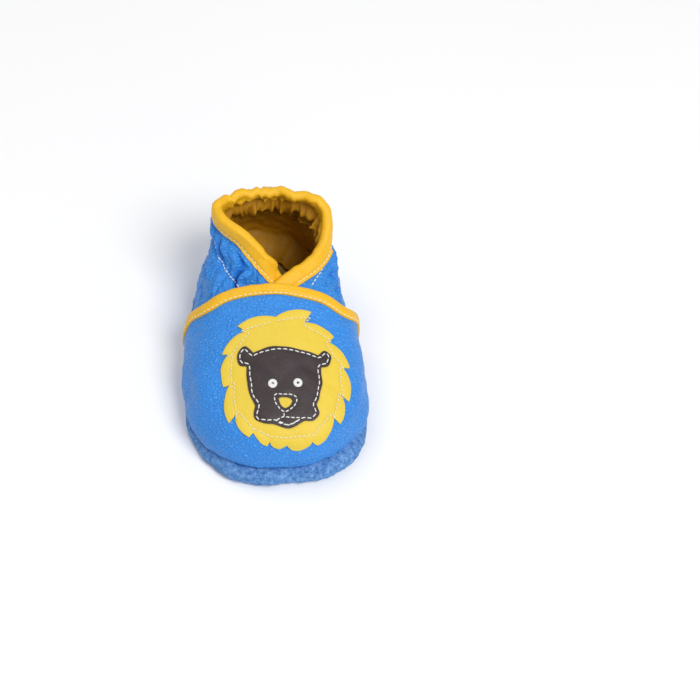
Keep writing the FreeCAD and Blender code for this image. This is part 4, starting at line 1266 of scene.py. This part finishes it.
    @staticmethod
    def inward(outline: Array, distance: float) -> Array:
        """Closed outline moved in by a distance."""
        ahead, behind = np.roll(outline, -1, 0), np.roll(outline, 1, 0)
        way = unit(ahead - behind)
        area = (outline[:, 0] * ahead[:, 1] - outline[:, 1] * ahead[:, 0]).sum()
        return outline + np.stack([-way[:, 1], way[:, 0]], 1) * math.copysign(distance, area)

    @staticmethod
    def nearest(points: Array, line: Array) -> Array:
        """Distance from points to a row of points joined up."""
        start, way = line[:-1], np.diff(line, axis=0)
        best = np.full(len(points), 1e9)
        for a, d in zip(start, way):
            share = np.clip(((points - a) @ d) / max(d @ d, 1e-12), 0, 1)
            best = np.minimum(best, np.linalg.norm(points - a - share[:, None] * d, axis=1))
        return best

    @staticmethod
    def inside(points: Array, outline: Array) -> Array:
        """Which points lie inside a closed outline."""
        x, y = points.T
        found = np.zeros(len(points), bool)
        for (x0, y0), (x1, y1) in zip(outline, np.roll(outline, -1, 0)):
            crosses = (y0 > y) != (y1 > y)
            with np.errstate(divide="ignore", invalid="ignore"):
                found ^= crosses & (x < (x1 - x0) * (y - y0) / (y1 - y0) + x0)
        return found

    def cut(self, outline: Array, holes: list[Array], spacing: float) -> tuple[Array, Array]:
        """Flat pieces cut to an outline, as points and triangles."""
        low, high = outline.min(0), outline.max(0)
        columns, rows = (np.arange(low[k], high[k], spacing) for k in (0, 1))
        grid = np.stack(np.meshgrid(columns, rows), -1)
        grid[1::2, :, 0] += spacing / 2
        grid = grid.reshape(-1, 2)
        loops = [outline, *holes]
        keep = self.inside(grid, outline)
        for hole in holes:
            keep &= ~self.inside(grid, hole)
        for loop in loops:
            keep &= self.nearest(grid, np.vstack([loop, loop[:1]])) > 0.35 * spacing
        points, edges = [grid[keep]], []
        count = int(keep.sum())
        for loop in loops:
            numbers = np.arange(len(loop)) + count
            edges += list(zip(numbers.tolist(), np.roll(numbers, -1).tolist()))
            points.append(loop)
            count += len(loop)
        flat = np.vstack(points)
        made = delaunay_2d_cdt([Vector(p) for p in flat.tolist()], edges, [], 0, 1e-5)
        flat, triangles = np.array([list(v) for v in made[0]]), np.array([list(f) for f in made[2]])
        centres = flat[triangles].mean(1)
        keep = self.inside(centres, outline)
        for hole in holes:
            keep &= ~self.inside(centres, hole)
        return flat, triangles[keep]

    def applique(self, name: str, node: str, slot: str, outline: Array, holes: list[Array],
                 seams: list[Array], offsets: tuple[float, float]) -> None:
        """Leather cut to an outline, pressed down along its stitches, laid on the vamp."""
        flat, triangles = self.cut(outline, holes, self.spacing)
        used = np.unique(triangles)
        numbers = np.full(len(flat), -1)
        numbers[used] = np.arange(len(used))
        flat, triangles = flat[used], numbers[triangles]
        loops = [np.vstack([loop, loop[:1]]) for loop in (outline, *holes)]
        rim = np.min([self.nearest(flat, loop) for loop in loops], axis=0)
        press = np.min([self.nearest(flat, seam) for seam in seams], axis=0)
        lift = -0.22 * np.exp(-(rim / 0.35) ** 2) - 0.26 * np.exp(-(press / 0.5) ** 2)
        lift += 0.05 * Rumple(7, 61)(flat)
        turn, height = self.places(flat)
        ones = np.ones(len(turn))
        skin, normal = self.form.skin(ones, turn, height), self.form.normal(ones, turn, height)
        top = skin + normal * (offsets[0] + lift)[:, None]
        bottom = skin + normal * offsets[1]
        count = len(flat)
        sides = np.sort(np.vstack([triangles[:, [0, 1]], triangles[:, [1, 2]], triangles[:, [2, 0]]]), 1)
        unique, uses = np.unique(sides, axis=0, return_counts=True)
        border = {tuple(pair) for pair in unique[uses == 1].tolist()}
        faces = triangles.tolist() + (triangles[:, ::-1] + count).tolist()
        for triangle in triangles.tolist():
            for a, b in zip(triangle, triangle[1:] + triangle[:1]):
                if (min(a, b), max(a, b)) in border:
                    faces.append([b, a, a + count, b + count])
        self.shop.piece(name, np.vstack([top, bottom]), faces, slot, node, 45)

    # ---- building
    def build(self, thread: "Stitching") -> None:
        """Both layers, the stitches and the eyes.

        Args:
            thread: maker of the stitches.
        """
        mane, face = self.mane_outline(), self.face_outline()
        nose = rounded_run(np.array(self.nose), 6)
        mane_seam = self.mane_seam()
        face_seam = self.inward(face, 1.15)
        face_seam = np.vstack([face_seam, face_seam[:1]])
        loop = rounded_run(np.array(self.nose_loop), 6)
        muzzle = [np.vstack([loop, loop[:1]]), *(np.array(run) for run in self.mouth),
                  rounded_run(np.array(self.lip), 6)]
        self.applique("lion_mane", "mane", "lemon_leather", mane, [], [mane_seam], self.stack.mane)
        self.applique("lion_face", "face", "brown_leather", face, [nose], [face_seam, *muzzle],
                      self.stack.face)
        mane_top, face_top = self.stack.mane[0], self.stack.face[0]
        for name, slot, lines, top, pitch in (
                ("mane", "cream_thread", [mane_seam], mane_top, 1.75),
                ("face", "white_thread", [face_seam], face_top, 2.3),
                ("muzzle", "white_thread", muzzle, face_top, 1.9)):
            self.sew(thread, f"{name}_thread", f"{name}_stitching", slot, lines, top, pitch)
        for node, spot in self.eyes:
            self.build_eye(node, spot)

    def mane_seam(self) -> Array:
        """Line of the mane's stitches, a softened copy of its outline."""
        def nearer(pair: tuple[float, float], distance: float) -> Array:
            pair = np.array(pair)
            return pair * (1 - distance / np.linalg.norm(pair))

        run = [nearer(self.dip, 1.8)]
        for tip, notch in self.left_tufts:
            run += [nearer(tip, 2.8), nearer(notch, 1.6)]
        for tip, notch in self.right_tufts[::-1]:
            run += [nearer(notch, 1.6), nearer(tip, 2.8)]
        run.append(run[0])
        return rounded_run(np.array(run), 7)

    def sew(self, thread: "Stitching", name: str, node: str, slot: str, lines: list[Array], top: float,
            pitch: float) -> None:
        """Stitches along lines of the flat pattern."""
        rows = []
        for line in lines:
            reach = arc_lengths(line)
            goal = np.linspace(0, reach[-1], max(2, int(reach[-1] / 0.4)))
            flat = np.stack([np.interp(goal, reach, line[:, k]) for k in (0, 1)], 1)
            turn, height = self.places(flat)
            ones = np.ones(len(turn))
            normal = self.form.normal(ones, turn, height)
            rows.append((self.form.skin(ones, turn, height) + normal * (top - 0.12), normal))
        thread.sew(name, node, slot, rows, pitch)

    def build_eye(self, node: str, spot: tuple[float, float]) -> None:
        """Embroidered eye: a raised ring of radial stitches round a pinhole."""
        low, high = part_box(node)
        radius = (high.x - low.x) / 2 * 1.02
        spokes = 36
        bpy.ops.object.select_all(action="DESELECT")
        bpy.ops.mesh.primitive_circle_add(vertices=spokes, radius=radius, fill_type="NGON")
        eye = bpy.context.active_object
        eye.name = "eye_" + node.split("_")[0]
        bpy.ops.object.mode_set(mode="EDIT")
        bpy.ops.mesh.select_all(action="SELECT")
        bpy.ops.mesh.extrude_region_move(TRANSFORM_OT_translate={"value": (0, 0, 0.2 * MM)})
        for inset, rise in ((0.12, 0.14), (0.3, 0.16), (0.45, 0.02), (0.3, -0.12), (0.12, -0.3)):
            bpy.ops.mesh.inset(thickness=inset * MM, depth=rise * MM)
        bpy.ops.mesh.select_all(action="SELECT")
        bpy.ops.mesh.normals_make_consistent(inside=False)
        bpy.ops.object.mode_set(mode="OBJECT")
        turn, height = self.places(np.array([spot]))
        one = np.ones(1)
        out = self.form.normal(one, turn, height)[0]
        seat = self.form.at(one, turn, height, self.stack.face[0] - 0.12)[0]
        across = unit(np.cross([0, 1, 0], out))
        frame = Matrix((across, np.cross(out, across), out)).transposed().to_4x4()
        for corner in eye.data.vertices:
            step = round(math.atan2(corner.co.y, corner.co.x) / (2 * math.pi) * spokes)
            if corner.co.z > 0.1 * MM and math.hypot(corner.co.x, corner.co.y) > 0.5 * MM:
                corner.co.z += (0.06 if step % 2 else -0.05) * MM
        eye.data.transform(Matrix.Translation(Vector(seat * MM)) @ frame)
        self.shop.finish(eye, "white_thread", node, 70)


@dataclass
class Stitching:
    """Lock stitches, one modelled and the rest copied along the seams."""

    form: Form
    shop: Workshop
    thickness: float = 0.52
    points: Array = None
    faces: list = None

    def model(self, length: float) -> tuple[Array, list]:
        """One stitch along X: a round thread whose two ends dive into the leather."""
        bpy.ops.object.select_all(action="DESELECT")
        bpy.ops.mesh.primitive_uv_sphere_add(segments=8, ring_count=6, radius=self.thickness / 2,
                                             rotation=(0, math.pi / 2, 0))
        stitch = bpy.context.active_object
        bpy.ops.object.transform_apply(location=False, rotation=True, scale=False)
        points = np.array([list(v.co) for v in stitch.data.vertices])
        faces = [list(face.vertices) for face in stitch.data.polygons]
        bpy.data.objects.remove(stitch)
        radius = self.thickness / 2
        share = points[:, 0] / radius
        points[:, 0] = np.sign(share) * np.abs(share) ** 0.55 * length / 2
        points[:, 2] += 0.10 - 0.26 * np.abs(share) ** 2.2
        return points, faces

    def sew(self, name: str, node: str, slot: str, rows: list[tuple[Array, Array]], pitch: float) -> None:
        """Stitches along rows of points.

        Args:
            name: the piece's name.
            node: the node that it replaces.
            slot: the thread.
            rows: pairs of points along a seam and directions out of the leather.
            pitch: distance from stitch to stitch.
        """
        draw = np.random.default_rng(len(name) * 7 + 5)
        shape, faces = self.model(pitch * 0.8)
        all_points, all_faces = [], []
        for points, normals in rows:
            reach = arc_lengths(points)
            number = max(1, round(reach[-1] / pitch))
            step = reach[-1] / number
            for i in range(number):
                centre, before, after = (np.array([np.interp(goal, reach, points[:, k]) for k in range(3)])
                                         for goal in (step * (i + 0.5), step * (i + 0.12), step * (i + 0.88)))
                out = np.array([np.interp(step * (i + 0.5), reach, normals[:, k]) for k in range(3)])
                along = unit(after - before)
                out = unit(out - along * (out @ along))
                lean = np.cross(out, along)
                along = unit(along + lean * draw.normal(0, 0.05))
                lean = np.cross(out, along)
                length = min(1.0, step / pitch) * draw.uniform(0.94, 1.04)
                basis = np.stack([along * length, lean, out])
                all_faces += [[k + len(shape) * len(all_points) for k in face] for face in faces]
                all_points.append(centre + out * 0.06 + shape @ basis)
        self.shop.piece(name, np.vstack(all_points), all_faces, slot, node, 180)


# --------------------------------------------------------------------------------------------------
# Stage
# --------------------------------------------------------------------------------------------------
@dataclass(frozen=True)
class Studio:
    """Pale floor, soft lights and the camera."""

    azimuth: float = -15.22
    elevation: float = 53.17
    roll: float = 10.66
    distance: float = 592.62
    look_at: tuple[float, float, float] = (0.0, 1.0, 25.0)
    spot: tuple[float, float] = (275.05, 322.34)
    focal: float = 1500.0
    frame_size: float = 700.0

    def build(self) -> None:
        """Set up everything round the bootie."""
        self.build_floor()
        self.build_lights()
        self.build_camera()

    def build_floor(self) -> None:
        """Large pale sheet under the bootie."""
        bpy.ops.object.select_all(action="DESELECT")
        bpy.ops.mesh.primitive_plane_add(size=6, location=(0, 0, -0.00008))
        floor = bpy.context.active_object
        floor.name = "floor"
        bpy.ops.object.transform_apply(location=True, rotation=False, scale=False)
        floor.data.materials.append(Paper().make())

    def build_lights(self) -> None:
        """One broad key, a broad fill and an even sky."""
        for name, place, size, power in (
                ("key", (0.4, -0.6, 1.15), 0.7, 12.0),
                ("top", (-0.45, 0.45, 1.2), 0.7, 3.6)):
            bpy.ops.object.light_add(type="AREA", location=place)
            light = bpy.context.active_object
            light.name = name
            light.data.shape, light.data.size, light.data.energy = "DISK", size, power
            light.rotation_euler = (Vector((0, 0, 0.02)) - Vector(place)).to_track_quat("-Z", "Y").to_euler()
        world = bpy.data.worlds.new("studio")
        world.use_nodes = True
        world.node_tree.nodes["Background"].inputs["Color"].default_value = (1, 1, 1, 1)
        world.node_tree.nodes["Background"].inputs["Strength"].default_value = 0.44
        bpy.context.scene.world = world
        bpy.context.scene.view_settings.view_transform = "Standard"

    def build_camera(self) -> None:
        """Camera that sees the bootie from above its toe, a little to its right, and slightly rolled."""
        a, e, r = (math.radians(v) for v in (self.azimuth, self.elevation, self.roll))
        back = Vector((math.sin(a) * math.cos(e), -math.cos(a) * math.cos(e), math.sin(e)))
        right = Vector((math.cos(a), math.sin(a), 0))
        up = back.cross(right)
        across, upward = math.cos(r) * right + math.sin(r) * up, math.cos(r) * up - math.sin(r) * right
        middle = self.frame_size / 2
        shift_x = (self.spot[0] - middle) / self.focal * self.distance
        shift_y = (middle - self.spot[1]) / self.focal * self.distance
        place = Vector(self.look_at) - shift_x * across - shift_y * upward + self.distance * back
        bpy.ops.object.camera_add(location=place * MM)
        camera = bpy.context.active_object
        facing = Matrix((across, upward, back)).transposed().to_4x4()
        camera.matrix_world = Matrix.Translation(place * MM) @ facing
        camera.data.sensor_width = 36.0
        camera.data.lens = 36.0 * self.focal / self.frame_size
        camera.data.clip_start, camera.data.clip_end = 0.01, 20.0
        bpy.context.scene.camera = camera


# --------------------------------------------------------------------------------------------------
# Everything in order
# --------------------------------------------------------------------------------------------------
FLARED = 1.0                # how far the vamp's flare carries it past the body's half width
TAPE_PROUD = 0.87           # how far the collar's tape stands out past the body


def read_form() -> Form:
    """The body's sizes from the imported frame."""
    stack = Stack()
    vamp, quarter, collar = (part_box(node) for node in ("vamp", "quarter", "collar_binding"))
    return Form(toe=-vamp[0].y * 1000 - stack.vamp[0], heel=quarter[1].y * 1000,
                waist=vamp[1].x * 1000 - stack.vamp[0] - FLARED, collar=collar[1].x * 1000 - TAPE_PROUD,
                foot=quarter[0].z * 1000, collar_top=collar[1].z * 1000)


def main() -> None:
    """Build the bootie and the studio round it."""
    logging.basicConfig(level=logging.INFO, format="%(name)s %(message)s")
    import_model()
    shop, stack, form = Workshop(Finishes().make()), Stack(), read_form()
    LOG.info("form: toe %.1f heel %.1f waist %.1f collar %.1f", form.toe, form.heel, form.waist, form.collar)
    low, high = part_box("suede_outsole")
    sole = SoleUnit(form, shop, -low.y * 1000, high.y * 1000, 35.2, high.z * 1000)
    sole.build_suede()
    sole.build_insole()
    Quarter(form, shop, stack).build()
    thread = Stitching(form, shop)
    collar_seam = Collar(form, shop, stack).build()
    vamp_seam = Vamp(form, shop, stack).build()
    sew_seams(form, thread, collar_seam, vamp_seam)
    Patch(form, shop, stack).build(thread)
    Studio().build()
    LOG.info("%d pieces", len(shop.made))


def sew_seams(form: Form, thread: Stitching, collar_seam: tuple[Array, Array],
              vamp_seam: tuple[Array, Array]) -> None:
    """Stitches of both bindings and of the elastic casing.

    Args:
        form: the bootie's surface.
        thread: maker of the stitches.
        collar_seam: points and directions of the collar's seam.
        vamp_seam: points and directions of the vamp's seam.
    """
    points, normals = collar_seam
    seen = points[:, 1] > form.vamp_edge + 1.6
    thread.sew("collar_tape_thread", "collar_binding_stitching", "yellow_thread",
               [(points[seen], normals[seen])], 2.0)
    points, normals = vamp_seam
    thread.sew("toe_tape_thread", "vamp_binding_stitching", "yellow_thread",
               [(points[4:-4], normals[4:-4])], 2.0)
    turn = np.linspace(0.6, math.pi, 240)
    rows = []
    for side in (-1.0, 1.0):
        sides = np.full(240, side)
        height = form.ankle(turn)
        points, normals = form.skin(sides, turn, height), form.normal(sides, turn, height)
        seen = form.plain(1, turn, height)[:, 1] > form.vamp_edge + 1.8
        rows.append((points[seen] + normals[seen] * -0.05, normals[seen]))
    thread.sew("ankle_thread", "ankle_stitching", "white_thread", rows, 1.9)


if __name__ == "__main__":
    main()
